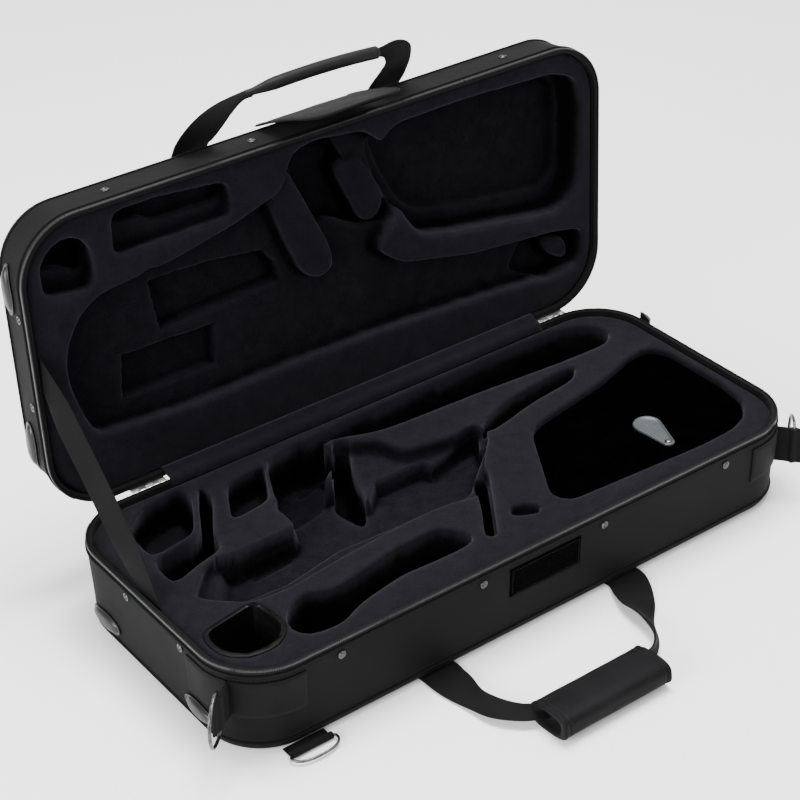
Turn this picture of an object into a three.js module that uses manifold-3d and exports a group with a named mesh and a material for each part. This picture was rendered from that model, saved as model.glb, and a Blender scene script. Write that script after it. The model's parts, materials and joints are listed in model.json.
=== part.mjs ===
// Soft-shell instrument case, open: two moulded tubs, hinged along the back edge and closed by a zip.
// Millimetres, +Z up. X runs along the case, Y from the front to the hinge side, z = 0 under the base.
import * as THREE from "three";
import { mergeVertices } from "three/addons/utils/BufferGeometryUtils.js";
import Module from "manifold-3d";

const wasm = await Module();
wasm.setup();

// Case
const caseLength = 650;
const caseWidth = 290;
const cornerRadius = 60;
const smallestCorner = 2;
const baseDepth = 92;
const lidDepth = 55;
const baseTaper = 2.8;
const lidTaper = 4.9;
const edgeRadius = 9;
const wall = 5;
const seat = 0.3;
const rimGap = 1;
const openAngle = THREE.MathUtils.degToRad(92);

// Rim: zip tape on a step, a piped seam under it
const zipStep = 1.8;
const tapeThickness = 1.2;
const tapeWidth = 6;
const rimLand = 1;
const pipingRadius = 1.2;
const pipingShares = [0.25, 0.5, 0.75];

// Moulded lining
const liningDrop = 5;
const liningRound = 4;
const wellLip = 1.5;
const wellFloorRound = 4;
const cutOverrun = 20;

// Compartment cover, its pull tab, and the accessory box
const coverDrop = 6;
const coverThickness = 3;
const coverLedge = 7;
const fitClearance = 0.8;
const coverBevel = 0.6;
const tabWideRadius = 14;
const tabNarrowRadius = 6;
const tabLength = 35;
const tabThickness = 2.6;
const tabRivetRadius = 3.2;
const tabRivetHeight = 1.2;
const tabPlaceShares = [0.615, -0.62];
const tabTurn = THREE.MathUtils.degToRad(-8);
const boxWall = 1.6;
const boxFlange = 2.5;
const boxFlangeThickness = 1.7;
const boxBevelShare = 0.333333;

// Studs, bumpers and patches
const studRadius = 4;
const studHeight = 2;
const studFromCorner = 43;
const studInnerShare = 0.315315;
const studFrontDrop = 16;
const studEndDrop = 13.5;
const studRearFromCorner = 53;
const studFrontFromCorner = 29;
const lidStudDrop = 25;
const lidStudEndDrop = 15;
const bumperHalfLength = 25;
const bumperHalfHeight = 11;
const bumperHeight = 5;
const bumperRim = 1.4;
const bumperFromCorner = 5.5;
const bumperLevel = 24;
const bumperNarrowShare = 0.35;
const patchWidth = 82;
const patchHeight = 31;
const patchThickness = 1.2;
const patchRimDistance = 15;
const patchOffset = 1;

// Webbing
const webbingWidth = 38;
const webbingThickness = 2.4;
const webbingBevel = 0.8;
const padThickness = 1.8;
const padLevel = 59;
const finLength = 29;
const finThickness = 3.2;
const sleeveReach = 17;
const sleeveRadius = 4;
const sleeveBore = 2.4;
const padFrontReach = 7;
const padEndReach = 20;

// Rings
const ringRod = 1.75;
const ringHeight = 46;
const ringReach = 34;
const leftRingTurn = THREE.MathUtils.degToRad(15);
const rightRingTurn = THREE.MathUtils.degToRad(100);
const leftFinAngle = THREE.MathUtils.degToRad(210);
const rightFinAngle = THREE.MathUtils.degToRad(-50);

// Strap anchor under the front left edge
const anchorFromEnd = 63;
const anchorWidth = 42;
const anchorReach = 8;
const anchorThickness = 1.4;
const anchorRadius = 3.4;
const anchorBore = 2.2;
const anchorRod = 1.5;
const anchorRingReach = 15;
const anchorRingPlay = 3;

// Carrying handles: webbing feet sewn to the shells, and a padded or piped grip
const footSpacing = 217;
const footMiddle = -10;
const handleBendShare = 0.3;
const handleShoulderShare = 0.6;
const footGap = 0.6;
const stubThickness = 2.2;
const baseGripLength = 122;
const baseGripWidth = 46;
const baseGripThickness = 25;
const baseGripReach = 115;
const baseGripOffset = -24;
const baseLegWidth = 24;
const lidGripLength = 145;
const lidGripWidth = 17;
const lidGripThickness = 17;
const lidGripReach = 67;
const lidGripOffset = 0;
const lidLegWidth = 12;
const gripClearance = 0.3;
const lidHandleLean = THREE.MathUtils.degToRad(35.5);
const lidFootDepth = 4.2;

// Closing flap
const flapWidth = 108;
const flapCentre = 4;
const flapLength = 103;
const flapThickness = 2.4;
const flapCorner = 22;
const flapBow = 2.4;
const flapRise = THREE.MathUtils.degToRad(21);

// Hinges
const hingeLeftFromCorner = 35;
const hingeRightFromCorner = 9;
const hingeWidth = 36;
const knuckleRadius = 2.3;
const pinRadius = 0.9;
const leafThickness = 1.2;
const leafHeight = 14;
const hingeDrop = 3.5;
const knuckleShares = [-0.5, -0.3, -0.1, 0.1, 0.3, 0.5];
const knuckleGap = 0.3;

// Zip slider, parked where the end wall's straight stretch begins
const sliderLength = 14;
const sliderHeight = 11;
const sliderNoseShare = 0.666667;
const sliderThickness = 3;
const sliderBack = 4;
const pullLength = 26;
const pullWidth = 7;
const pullThickness = 1.2;
const pullPin = 1;
const pullHead = 0.7;

// Stay strap
const stayWidth = 25;
const stayThickness = 1.4;
const stayFromEnd = 8;
const stayMiddle = 4;

const halfLength = caseLength / 2;
const halfWidth = caseWidth / 2;
const cornerStart = halfLength - cornerRadius;
const endStretch = halfWidth - cornerRadius;
const anchorCentre = anchorFromEnd - halfLength;
const lidRimLevel = baseDepth + rimGap;
const closedHeight = lidRimLevel + lidDepth;
const hingeY = halfWidth + seat + knuckleRadius;
const hingeZ = baseDepth - hingeDrop;

// The two tubs, each drawn with its outer face at z = 0 and its rim at z = depth
const baseTub = { depth: baseDepth, taper: baseTaper, front: -1 };
const lidTub = { depth: lidDepth, taper: lidTaper, front: 1 };

// Outlines of the wells, as shares of half the case's length and half its width
const cornerShare = 0.07;
const compartmentShares = [
  [0.33, 0.015], [0.39, 0.07], [0.67, 0.185], [0.835, 0.305], [0.915, 0.315], [0.95, 0.195],
  [0.95, -0.345], [0.93, -0.595], [0.875, -0.73], [0.795, -0.795], [0.665, -0.805], [0.26, -0.75],
  [0.19, -0.74], [0.165, -0.62],
];
const boxShares = [
  [-0.945, -0.43], [-0.765, -0.365], [-0.75, -0.66], [-0.81, -0.78], [-0.9, -0.77], [-0.95, -0.635],
];
const mouthpieceShares = [
  [-0.87, 0.4], [-0.86, 0.73], [-0.77, 0.885], [-0.635, 0.925], [-0.64, 0.76], [-0.72, 0.455],
];
const curvedWellShares = [
  [-0.885, 0.09], [-0.88, 0.36], [-0.745, 0.415], [-0.685, 0.495], [-0.63, 0.73], [-0.59, 0.87],
  [-0.585, 0.715], [-0.685, 0.36], [-0.69, 0.22], [-0.79, 0.165],
];
const rearShelfShares = [[-0.525, 0.77], [-0.605, 0.415], [-0.47, 0.455], [-0.38, 0.815]];
const supportSlotShares = [[-0.655, 0.105], [-0.5, 0.105], [-0.5, 0.03], [-0.67, -0.005]];
const bellRimShares = [
  [-0.37, 0.83], [-0.45, 0.455], [-0.46, 0.305], [-0.32, 0.365], [-0.24, 0.495], [-0.165, 0.65],
  [-0.23, 0.91],
];
const keySlotShares = [
  [-0.27, 0.04], [-0.295, 0.305], [-0.26, 0.415], [-0.16, 0.745], [-0.115, 0.69], [-0.17, 0.495],
  [-0.215, 0.205],
];
const bodyPlaneShares = [
  [-0.87, -0.085], [-0.85, -0.165], [-0.765, -0.345], [-0.65, -0.37], [-0.45, -0.315],
  [-0.21, -0.275], [-0.08, -0.29], [0.02, -0.345], [0.155, 0.015], [0.23, 0.18], [0.23, 0.29],
  [0.09, 0.305], [-0.025, 0.36], [-0.05, 0.565], [-0.14, 0.69], [-0.275, 0.37], [-0.395, 0.415],
  [-0.47, 0.43], [-0.48, 0.095], [-0.65, 0.04], [-0.71, 0.125], [-0.77, 0.14],
];
const middleWellShares = [
  [-0.085, 0], [-0.07, -0.06], [0.03, 0.005], [0.15, 0.055], [0.23, 0.29], [0.19, 0.315],
  [-0.045, 0.165],
];
const rearChannelShares = [
  [-0.31, 0.69], [-0.285, 0.855], [-0.115, 0.895], [0.43, 0.925], [0.725, 0.925], [0.81, 0.885],
  [0.88, 0.77], [0.89, 0.635], [0.83, 0.54], [0.655, 0.55], [0.34, 0.605], [0.045, 0.635],
  [-0.03, 0.66], [-0.155, 0.77],
];
const sideChannelShares = [
  [0.235, 0.29], [0.34, 0.385], [0.42, 0.43], [0.615, 0.475], [0.67, 0.44], [0.61, 0.33],
  [0.42, 0.275], [0.285, 0.2], [0.22, 0.18],
];
const narrowSlotShares = [
  [0.11, -0.125], [0.045, -0.345], [-0.075, -0.74], [-0.1, -0.705], [-0.03, -0.485], [0.08, -0.055],
];
const notchShares = [[0.04, -0.55], [0.11, -0.635], [0.09, -0.73], [0.01, -0.64]];
const neckWellShares = [
  [-0.72, -0.54], [-0.75, -0.705], [-0.72, -0.815], [-0.63, -0.84], [-0.54, -0.75], [-0.39, -0.69],
  [-0.21, -0.71], [-0.135, -0.69], [-0.125, -0.595], [-0.18, -0.44], [-0.33, -0.45],
  [-0.455, -0.505], [-0.57, -0.545], [-0.635, -0.455],
];
const lidRoundShares = [
  [-0.93, 0.495], [-0.93, 0.715], [-0.885, 0.82], [-0.83, 0.835], [-0.79, 0.76], [-0.77, 0.66],
  [-0.77, 0.525], [-0.795, 0.44],
];
const lidRoundDeepShares = [
  [-0.93, 0.62], [-0.925, 0.715], [-0.885, 0.815], [-0.83, 0.83], [-0.79, 0.76], [-0.775, 0.66],
  [-0.78, 0.54], [-0.81, 0.54], [-0.855, 0.615],
];
const lidSteppedShares = [
  [-0.705, 0.895], [-0.62, 0.885], [-0.585, 0.895], [-0.355, 0.84], [-0.33, 0.795], [-0.33, 0.6],
  [-0.71, 0.605],
];
const lidSteppedDeepShares = [
  [-0.7, 0.895], [-0.62, 0.885], [-0.585, 0.895], [-0.355, 0.84], [-0.335, 0.785], [-0.34, 0.69],
  [-0.57, 0.705], [-0.595, 0.77], [-0.7, 0.77],
];
const lidBodyShares = [
  [-0.77, 0.4], [-0.835, 0.305], [-0.88, 0.14], [-0.895, -0.03], [-0.885, -0.195], [-0.86, -0.385],
  [-0.825, -0.55], [-0.525, -0.605], [-0.175, -0.6], [0.19, -0.62], [0.58, -0.675],
  [0.755, -0.715], [0.925, -0.715], [0.95, -0.65], [0.95, -0.44], [0.83, -0.38], [0.505, -0.305],
  [0.235, -0.165], [0.155, -0.015], [0.185, 0.095], [0.25, 0.24], [0.26, 0.455], [0.205, 0.715],
  [0.125, 0.87], [-0.05, 0.92], [-0.125, 0.885], [-0.165, 0.655], [-0.335, 0.54], [-0.535, 0.45],
];
const lidLongShares = [
  [-0.635, 0.455], [-0.345, 0.35], [-0.25, 0.285], [-0.195, 0.15], [-0.205, 0.055],
  [-0.265, 0.035], [-0.65, 0.09], [-0.66, 0.22],
];
const lidSmallShares = [
  [-0.74, 0.165], [-0.48, 0.165], [-0.43, 0.11], [-0.425, -0.165], [-0.46, -0.195],
  [-0.75, -0.18],
];
const lidBellShares = [
  [-0.115, 0.87], [-0.05, 0.92], [0.045, 0.855], [0.16, 0.36], [0.245, 0.25], [0.21, 0.115],
  [0.13, 0.14], [0.01, 0.295], [-0.045, 0.25],
];
const lidBowShares = [
  [0.16, 0.715], [0.23, 0.84], [0.485, 0.85], [0.825, 0.815], [0.92, 0.73], [0.945, 0.55],
  [0.94, -0.055], [0.895, -0.205], [0.825, -0.235], [0.43, -0.085], [0.315, -0.015],
  [0.265, 0.125], [0.19, 0.44],
];
const lidBowDeepShares = [
  [0.19, 0.715], [0.245, 0.8], [0.485, 0.805], [0.81, 0.77], [0.89, 0.69], [0.91, 0.55],
  [0.905, 0.04], [0.87, -0.085], [0.805, -0.095], [0.43, 0.03], [0.34, 0.085], [0.295, 0.18],
  [0.23, 0.455],
];
const lidNotchShares = [
  [0.685, -0.635], [0.75, -0.395], [0.825, -0.42], [0.935, -0.485], [0.94, -0.69],
  [0.825, -0.76], [0.755, -0.705],
];
const rollBlockShares = [
  [-0.215, 0.66], [-0.155, 0.82], [-0.125, 0.73], [-0.005, 0.14], [0.005, -0.03],
  [-0.055, -0.075], [-0.105, 0], [-0.16, 0.295],
];
const bellBlockShares = [[0.045, 0.635], [0.125, 0.675], [0.22, 0.325], [0.195, 0.17], [0.135, 0.165]];
const notchBlockShares = [
  [0.805, -0.455], [0.9, -0.49], [0.91, -0.63], [0.89, -0.665], [0.83, -0.58],
];

// Wells of each lining: where the well's mouth lies and how deep it goes, as shares of the lining
const baseWellShares = [
  { mouth: 0, depth: 0.17, outline: bodyPlaneShares },
  { mouth: 0, depth: 0.43, outline: mouthpieceShares },
  { mouth: 0, depth: 0.73, outline: curvedWellShares },
  { mouth: 0, depth: 0.37, outline: rearShelfShares },
  { mouth: 0, depth: 0.4, outline: supportSlotShares },
  { mouth: 0, depth: 0.6, outline: bellRimShares },
  { mouth: 0.17, depth: 0.72, outline: keySlotShares },
  { mouth: 0.17, depth: 0.37, outline: middleWellShares },
  { mouth: 0, depth: 0.63, outline: rearChannelShares },
  { mouth: 0, depth: 0.43, outline: sideChannelShares },
  { mouth: 0.17, depth: 0.66, outline: narrowSlotShares },
  { mouth: 0, depth: 0.15, outline: notchShares },
  { mouth: 0, depth: 0.55, outline: neckWellShares },
];
const lidWellShares = [
  { mouth: 0, depth: 0.42, outline: lidRoundShares },
  { mouth: 0.42, depth: 0.8, outline: lidRoundDeepShares },
  { mouth: 0, depth: 0.36, outline: lidSteppedShares },
  { mouth: 0.36, depth: 0.62, outline: lidSteppedDeepShares },
  { mouth: 0, depth: 0.48, outline: lidBodyShares },
  { mouth: 0.48, depth: 0.78, outline: lidLongShares },
  { mouth: 0.48, depth: 0.72, outline: lidSmallShares },
  { mouth: 0, depth: 0.85, outline: lidBellShares },
  { mouth: 0, depth: 0.66, outline: lidBowShares },
  { mouth: 0.66, depth: 0.85, outline: lidBowDeepShares },
  { mouth: 0, depth: 0.66, outline: lidNotchShares },
];
const lidBlockShares = [
  { below: 0.1, outline: rollBlockShares },
  { below: 0.35, outline: bellBlockShares },
  { below: 0.2, outline: notchBlockShares },
];
const blockRoundSteps = 2;
const compartmentDepthShare = 0.9;
const boxWellDepthShare = 0.73;

const paint = (colour, roughness, metalness = 0) =>
  new THREE.MeshStandardMaterial({ color: colour, roughness, metalness });
const looks = {
  nylon: [0x2a292b, 0.85],
  plush: [0x2c2a35, 1],
  tape: [0x3a3a3e, 0.7],
  webbing: [0x26262a, 0.9],
  moulding: [0x1c1c20, 0.3],
  metal: [0xb9bcc0, 0.3, 1],
  felt: [0x101012, 1],
  tab: [0x6e7678, 0.5],
};

// A closed solid from a skin of triangles
const mergeDistance = 1e-3;
function solid(geometry) {
  const bare = geometry.index ? geometry.toNonIndexed() : geometry.clone();
  bare.deleteAttribute("normal");
  bare.deleteAttribute("uv");
  const merged = mergeVertices(bare, mergeDistance);
  const corners = merged.index.array;
  const kept = [];
  for (let i = 0; i < corners.length; i += 3) {
    const [a, b, c] = corners.subarray(i, i + 3);
    if (a !== b && b !== c && c !== a) {
      kept.push(a, b, c);
    }
  }
  return new wasm.Manifold(
    new wasm.Mesh({
      numProp: 3,
      vertProperties: merged.attributes.position.array,
      triVerts: new Uint32Array(kept),
    }),
  );
}

// The geometry of a solid
function geometryOf(body) {
  const mesh = body.getMesh();
  const positions = new Float32Array(mesh.numVert * 3);
  for (let i = 0; i < mesh.numVert; i++) {
    positions.set(mesh.vertProperties.subarray(i * mesh.numProp, i * mesh.numProp + 3), i * 3);
  }
  const geometry = new THREE.BufferGeometry();
  geometry.setAttribute("position", new THREE.BufferAttribute(positions, 3));
  geometry.setIndex(new THREE.BufferAttribute(mesh.triVerts, 1));
  geometry.computeVertexNormals();
  return geometry;
}

// A named piece in a group
function piece(group, name, geometry, look) {
  const mesh = new THREE.Mesh(geometry, paint(...looks[look]));
  mesh.name = name;
  group.add(mesh);
  return mesh;
}

// A skin over a row of rings with equal counts of points, capped by fans or by given faces, or closed
// on itself
function loft(rings, closed = false, capFaces = null) {
  const count = rings[0].length;
  const positions = rings.flat().flatMap((p) => [p.x, p.y, p.z]);
  const faces = [];
  const bands = closed ? rings.length : rings.length - 1;
  for (let i = 0; i < bands; i++) {
    for (let j = 0; j < count; j++) {
      const a = i * count + j;
      const b = i * count + ((j + 1) % count);
      const c = ((i + 1) % rings.length) * count + j;
      const d = ((i + 1) % rings.length) * count + ((j + 1) % count);
      faces.push(a, b, d, a, d, c);
    }
  }
  if (capFaces) {
    const last = (rings.length - 1) * count;
    capFaces.forEach(([a, b, c]) => faces.push(a, c, b, last + a, last + b, last + c));
  } else if (!closed) {
    const lastRing = rings.length - 1;
    for (const [ring, first, turn] of [[0, 0, true], [lastRing, lastRing * count, false]]) {
      const middle = new THREE.Vector3();
      rings[ring].forEach((p) => middle.add(p));
      middle.divideScalar(count);
      const centre = positions.length / 3;
      positions.push(middle.x, middle.y, middle.z);
      for (let j = 0; j < count; j++) {
        const a = first + j;
        const b = first + ((j + 1) % count);
        faces.push(...(turn ? [centre, b, a] : [centre, a, b]));
      }
    }
  }
  const geometry = new THREE.BufferGeometry();
  geometry.setAttribute("position", new THREE.Float32BufferAttribute(positions, 3));
  geometry.setIndex(faces);
  return geometry;
}

// The case's outline, drawn in by an inset, at a level
const cornerSteps = 6;
function caseRing(inset, z) {
  const radius = Math.max(cornerRadius - inset, smallestCorner);
  const cx = halfLength - inset - radius;
  const cy = halfWidth - inset - radius;
  const ring = [];
  for (let corner = 0; corner < 4; corner++) {
    const sx = corner === 0 || corner === 3 ? 1 : -1;
    const sy = corner < 2 ? 1 : -1;
    for (let i = 0; i <= cornerSteps; i++) {
      const angle = (Math.PI / 2) * (corner + i / cornerSteps);
      ring.push(
        new THREE.Vector3(sx * cx + radius * Math.cos(angle), sy * cy + radius * Math.sin(angle), z),
      );
    }
  }
  return ring;
}

// How far a tub's leaning wall stands in from the rim's outline at a height
const lean = (tub, z) => tub.taper * (1 - z / tub.depth);
const edgeInset = (tub, z) =>
  lean(tub, edgeRadius) + edgeRadius - Math.sqrt(edgeRadius ** 2 - (edgeRadius - z) ** 2);
const leanAngle = (tub) => Math.atan2(tub.taper, tub.depth);

// A shell: rounded outer edge, piped seams, zip step, rim land, and the hollow inside
function shell(tub) {
  const rings = [];
  const arcSteps = 4;
  for (let i = 0; i <= arcSteps; i++) {
    const angle = (Math.PI / 2) * (i / arcSteps);
    const inset = lean(tub, edgeRadius) + edgeRadius * (1 - Math.sin(angle));
    rings.push(caseRing(inset, edgeRadius * (1 - Math.cos(angle))));
  }
  const seam = (z) => {
    for (const share of pipingShares) {
      const out = pipingRadius * Math.sin(Math.PI * share);
      const level = z - pipingRadius * Math.cos(Math.PI * share);
      rings.push(caseRing(lean(tub, level) - out, level));
    }
    rings.push(caseRing(lean(tub, z + pipingRadius), z + pipingRadius));
  };
  const stepLevel = tub.depth - tapeWidth - seat;
  const seamLevel = stepLevel - pipingRadius;
  seam(edgeRadius + pipingRadius);
  rings.push(caseRing(lean(tub, seamLevel - pipingRadius), seamLevel - pipingRadius));
  seam(seamLevel);
  rings.push(caseRing(zipStep, stepLevel));
  rings.push(caseRing(zipStep, tub.depth - rimLand));
  rings.push(caseRing(lean(tub, tub.depth) + wall, tub.depth - rimLand));
  rings.push(caseRing(lean(tub, wall) + wall, wall));
  return solid(loft(rings));
}

// The zip tape: a band that runs round the rim on its step
function zipTape(tub) {
  const inner = zipStep - seat;
  const outer = inner - tapeThickness;
  const low = tub.depth - tapeWidth;
  const high = tub.depth;
  const rings = [[inner, low], [outer, low], [outer, high], [inner, high]];
  return solid(loft(rings.map(([inset, z]) => caseRing(inset, z)), true));
}

// A closed outline through corner points, each corner rounded as far as its edges allow
const cornerReachShare = 0.48;
function roundedShape(points, round) {
  const shape = new THREE.Shape();
  points.forEach((corner, i) => {
    const before = points[(i + points.length - 1) % points.length];
    const after = points[(i + 1) % points.length];
    const limit = Array.isArray(round) ? round[i] : round;
    const reach = (other) => Math.min(limit, corner.distanceTo(other) * cornerReachShare);
    const start = corner.clone().lerp(before, reach(before) / corner.distanceTo(before));
    const end = corner.clone().lerp(after, reach(after) / corner.distanceTo(after));
    if (i === 0) {
      shape.moveTo(start.x, start.y);
    } else {
      shape.lineTo(start.x, start.y);
    }
    shape.quadraticCurveTo(corner.x, corner.y, end.x, end.y);
  });
  shape.closePath();
  return shape;
}
const wellShape = (shares) =>
  roundedShape(
    shares.map(([x, y]) => new THREE.Vector2(x * halfLength, y * halfWidth)),
    cornerShare * halfWidth,
  );

// A closed outline's points, moved sideways by a distance, outward where it is positive
const sharpestCornerShare = 0.5;
function moved(points, distance) {
  return points.map((p, i) => {
    const before = points[(i + points.length - 1) % points.length];
    const after = points[(i + 1) % points.length];
    const first = p.clone().sub(before).normalize();
    const second = after.clone().sub(p).normalize();
    const side = new THREE.Vector2(first.y + second.y, -first.x - second.x).normalize();
    const share = Math.max(side.x * second.y - side.y * second.x, sharpestCornerShare);
    return p.clone().addScaledVector(side, distance / share);
  });
}

// An extrusion from one level to another, its ends drawn in by a bevel and its outline by an inset
const curveSteps = 2;
const chamferSteps = 1;
function prism(
  shape,
  low,
  high,
  bevel = 0,
  inset = 0,
  bevelSteps = chamferSteps,
  divisions = curveSteps,
) {
  let points = shape.getPoints(divisions);
  points = points.filter((p, i) => p.distanceTo(points[(i + 1) % points.length]) > mergeDistance);
  if (THREE.ShapeUtils.isClockWise(points)) {
    points.reverse();
  }
  const level = (draw, z) => moved(points, -draw).map((p) => new THREE.Vector3(p.x, p.y, z));
  const levels = [];
  for (let i = 0; i <= (bevel > 0 ? bevelSteps : 0); i++) {
    const angle = (Math.PI / 2) * (i / bevelSteps);
    levels.push([inset + bevel * (1 - Math.sin(angle)), bevel * (1 - Math.cos(angle))]);
  }
  const rings = [
    ...levels.map(([draw, rise]) => level(draw, low + rise)),
    ...levels.reverse().map(([draw, rise]) => level(draw, high - rise)),
  ];
  return loft(rings, false, THREE.ShapeUtils.triangulateShape(points, []));
}

// A well's tool: a bevelled floor, straight sides, and a chamfered lip at its mouth
function wellTool(shape, top, mouth, floor, inset = 0) {
  const pit = solid(prism(shape, floor, top + cutOverrun, wellFloorRound, inset));
  const lip = solid(prism(shape, mouth - wellLip, top + cutOverrun, wellLip, inset - wellLip));
  return pit.add(lip);
}

// The lining: a moulded block with a rounded shoulder, and its wells
const shoulderShares = [0, 0.33, 0.67, 1];
function liningBlock(tub) {
  const top = tub.depth - liningDrop;
  const inset = (z) => lean(tub, z) + wall + seat;
  const floor = wall + seat;
  const shoulder = shoulderShares.map((share) => {
    const angle = (Math.PI / 2) * share;
    return caseRing(
      inset(top) + liningRound * (1 - Math.cos(angle)),
      top - liningRound * (1 - Math.sin(angle)),
    );
  });
  return solid(loft([caseRing(inset(floor), floor), ...shoulder]));
}
function lining(tub, wells) {
  const top = tub.depth - liningDrop;
  const thick = top - wall - seat;
  let body = liningBlock(tub);
  for (const { mouth, depth, outline } of wells) {
    body = body.subtract(wellTool(wellShape(outline), top, top - mouth * thick, top - depth * thick));
  }
  return body;
}

// A point on a tub's outside: t runs along the end wall from its middle towards the front, round the
// corner and on along the front wall; end is -1 for the left end and 1 for the right
function wallPoint(tub, end, t, z, out) {
  const inset = lean(tub, z) - out;
  const side = t < 0 ? -1 : 1;
  const along = Math.abs(t);
  const radius = cornerRadius - inset;
  const cx = halfLength - cornerRadius;
  const arc = cornerRadius * (Math.PI / 2);
  let x = cx + radius;
  let y = along;
  if (along > endStretch + arc) {
    x = cx - (along - endStretch - arc);
    y = endStretch + radius;
  } else if (along > endStretch) {
    const angle = (along - endStretch) / cornerRadius;
    x = cx + radius * Math.cos(angle);
    y = endStretch + radius * Math.sin(angle);
  }
  return new THREE.Vector3(end * x, tub.front * side * y, z);
}

// A frame on the front or back wall: local Z points out of the leaning wall, local Y up it
function onFrontWall(tub, x, z, out, back = false) {
  const side = back ? -tub.front : tub.front;
  const group = new THREE.Group();
  group.position.set(x, side * (halfWidth - lean(tub, z)), z);
  const tilt = leanAngle(tub);
  const normal = new THREE.Vector3(0, side * Math.cos(tilt), -Math.sin(tilt));
  const up = new THREE.Vector3(0, side * Math.sin(tilt), Math.cos(tilt));
  group.quaternion.setFromRotationMatrix(
    new THREE.Matrix4().makeBasis(up.clone().cross(normal), up, normal),
  );
  group.position.addScaledVector(normal, out);
  return group;
}
function onEndWall(tub, end, y, z, out) {
  const group = new THREE.Group();
  const tilt = leanAngle(tub);
  const normal = new THREE.Vector3(end * Math.cos(tilt), 0, -Math.sin(tilt));
  const up = new THREE.Vector3(end * Math.sin(tilt), 0, Math.cos(tilt));
  group.quaternion.setFromRotationMatrix(
    new THREE.Matrix4().makeBasis(up.clone().cross(normal), up, normal),
  );
  group.position.set(end * (halfLength - lean(tub, z)), y, z).addScaledVector(normal, out);
  return group;
}

// Domed rivet head, seated face at z = 0
const roundSides = 12;
const studFlangeShare = 0.25;
const studCrownShare = 0.8;
const studDomeShare = 0.3;
function studGeometry() {
  const flange = studHeight * studFlangeShare;
  const angle = (Math.PI / 2) * studDomeShare;
  const domeRadius = studRadius * studCrownShare * Math.cos(angle);
  const domeLevel = flange + (studHeight - flange) * Math.sin(angle);
  const profile = [
    [0, 0], [studRadius, 0], [studRadius, flange], [domeRadius, domeLevel], [0, studHeight],
  ];
  const points = profile.map(([x, y]) => new THREE.Vector2(x, y));
  return new THREE.LatheGeometry(points, roundSides).rotateX(Math.PI / 2);
}

// Moulded bumper: a raised teardrop inside a rim, bent round the wall it sits on
const bumperSides = 16;
const bumperRadialShares = [0.5, 1, 1, 0.86, 0.74, 0.45];
const bumperShoulderShare = 0.62;
const bumperCrownShare = 0.92;
const bumperLevels = [
  0, 0, bumperRim, bumperRim, bumperHeight * bumperShoulderShare, bumperHeight * bumperCrownShare,
];
function bumperGeometry(tub, end, centre, point) {
  const at = (share, angle, height) => {
    const narrow = 1 - (bumperNarrowShare * (1 + Math.cos(angle) * point)) / 2;
    const t = centre + share * bumperHalfLength * Math.cos(angle);
    const z = bumperLevel + share * bumperHalfHeight * narrow * Math.sin(angle);
    return wallPoint(tub, end, t, z, seat + seat + height);
  };
  const rings = bumperRadialShares.map((share, row) => {
    const ring = [];
    for (let i = 0; i < bumperSides; i++) {
      ring.push(at(share, (2 * Math.PI * i) / bumperSides, bumperLevels[row]));
    }
    return ring;
  });
  return outward(loft(rings));
}

// Turns a closed geometry's faces outward where its rings ran the other way
function outward(geometry) {
  const positions = geometry.attributes.position;
  const index = geometry.index.array;
  let volume = 0;
  const [a, b, c] = [new THREE.Vector3(), new THREE.Vector3(), new THREE.Vector3()];
  for (let i = 0; i < index.length; i += 3) {
    a.fromBufferAttribute(positions, index[i]);
    b.fromBufferAttribute(positions, index[i + 1]);
    c.fromBufferAttribute(positions, index[i + 2]);
    volume += a.dot(b.cross(c));
  }
  if (volume < 0) {
    for (let i = 0; i < index.length; i += 3) {
      [index[i + 1], index[i + 2]] = [index[i + 2], index[i + 1]];
    }
  }
  return geometry;
}

// A tube along a closed flat path
function closedTube(points, normal, radius, sides) {
  const rings = points.map((p, i) => {
    const before = points[(i + points.length - 1) % points.length];
    const after = points[(i + 1) % points.length];
    const along = after.clone().sub(before).normalize();
    const across = normal.clone().cross(along).normalize();
    const ring = [];
    for (let k = 0; k < sides; k++) {
      const angle = (2 * Math.PI * k) / sides;
      ring.push(
        p.clone()
          .addScaledVector(across, radius * Math.cos(angle))
          .addScaledVector(normal, radius * Math.sin(angle)),
      );
    }
    return ring;
  });
  return outward(loft(rings, true));
}

const ringSteps = 22;
const ringSides = 6;
const ringCornerShare = 1.8;
const ringBowShare = 0.8;
const ringShoulderShare = 0.6;
// A D-ring in the XZ plane: its bar on the Z axis, its bow towards +X
function dRing(height, reach, rod) {
  const half = height / 2;
  const corner = rod * ringCornerShare;
  const bow = reach * ringBowShare;
  const shoulder = half * ringShoulderShare;
  const path = new THREE.Path();
  path.moveTo(0, -half + corner);
  path.lineTo(0, half - corner);
  path.quadraticCurveTo(0, half, corner, half);
  path.bezierCurveTo(bow, half, reach, shoulder, reach, 0);
  path.bezierCurveTo(reach, -shoulder, bow, -half, corner, -half);
  path.quadraticCurveTo(0, -half, 0, -half + corner);
  const flat = path.getSpacedPoints(ringSteps).slice(0, -1);
  const points = flat.map((p) => new THREE.Vector3(p.x, 0, p.y));
  return closedTube(points, new THREE.Vector3(0, 1, 0), rod, ringSides);
}

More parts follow.
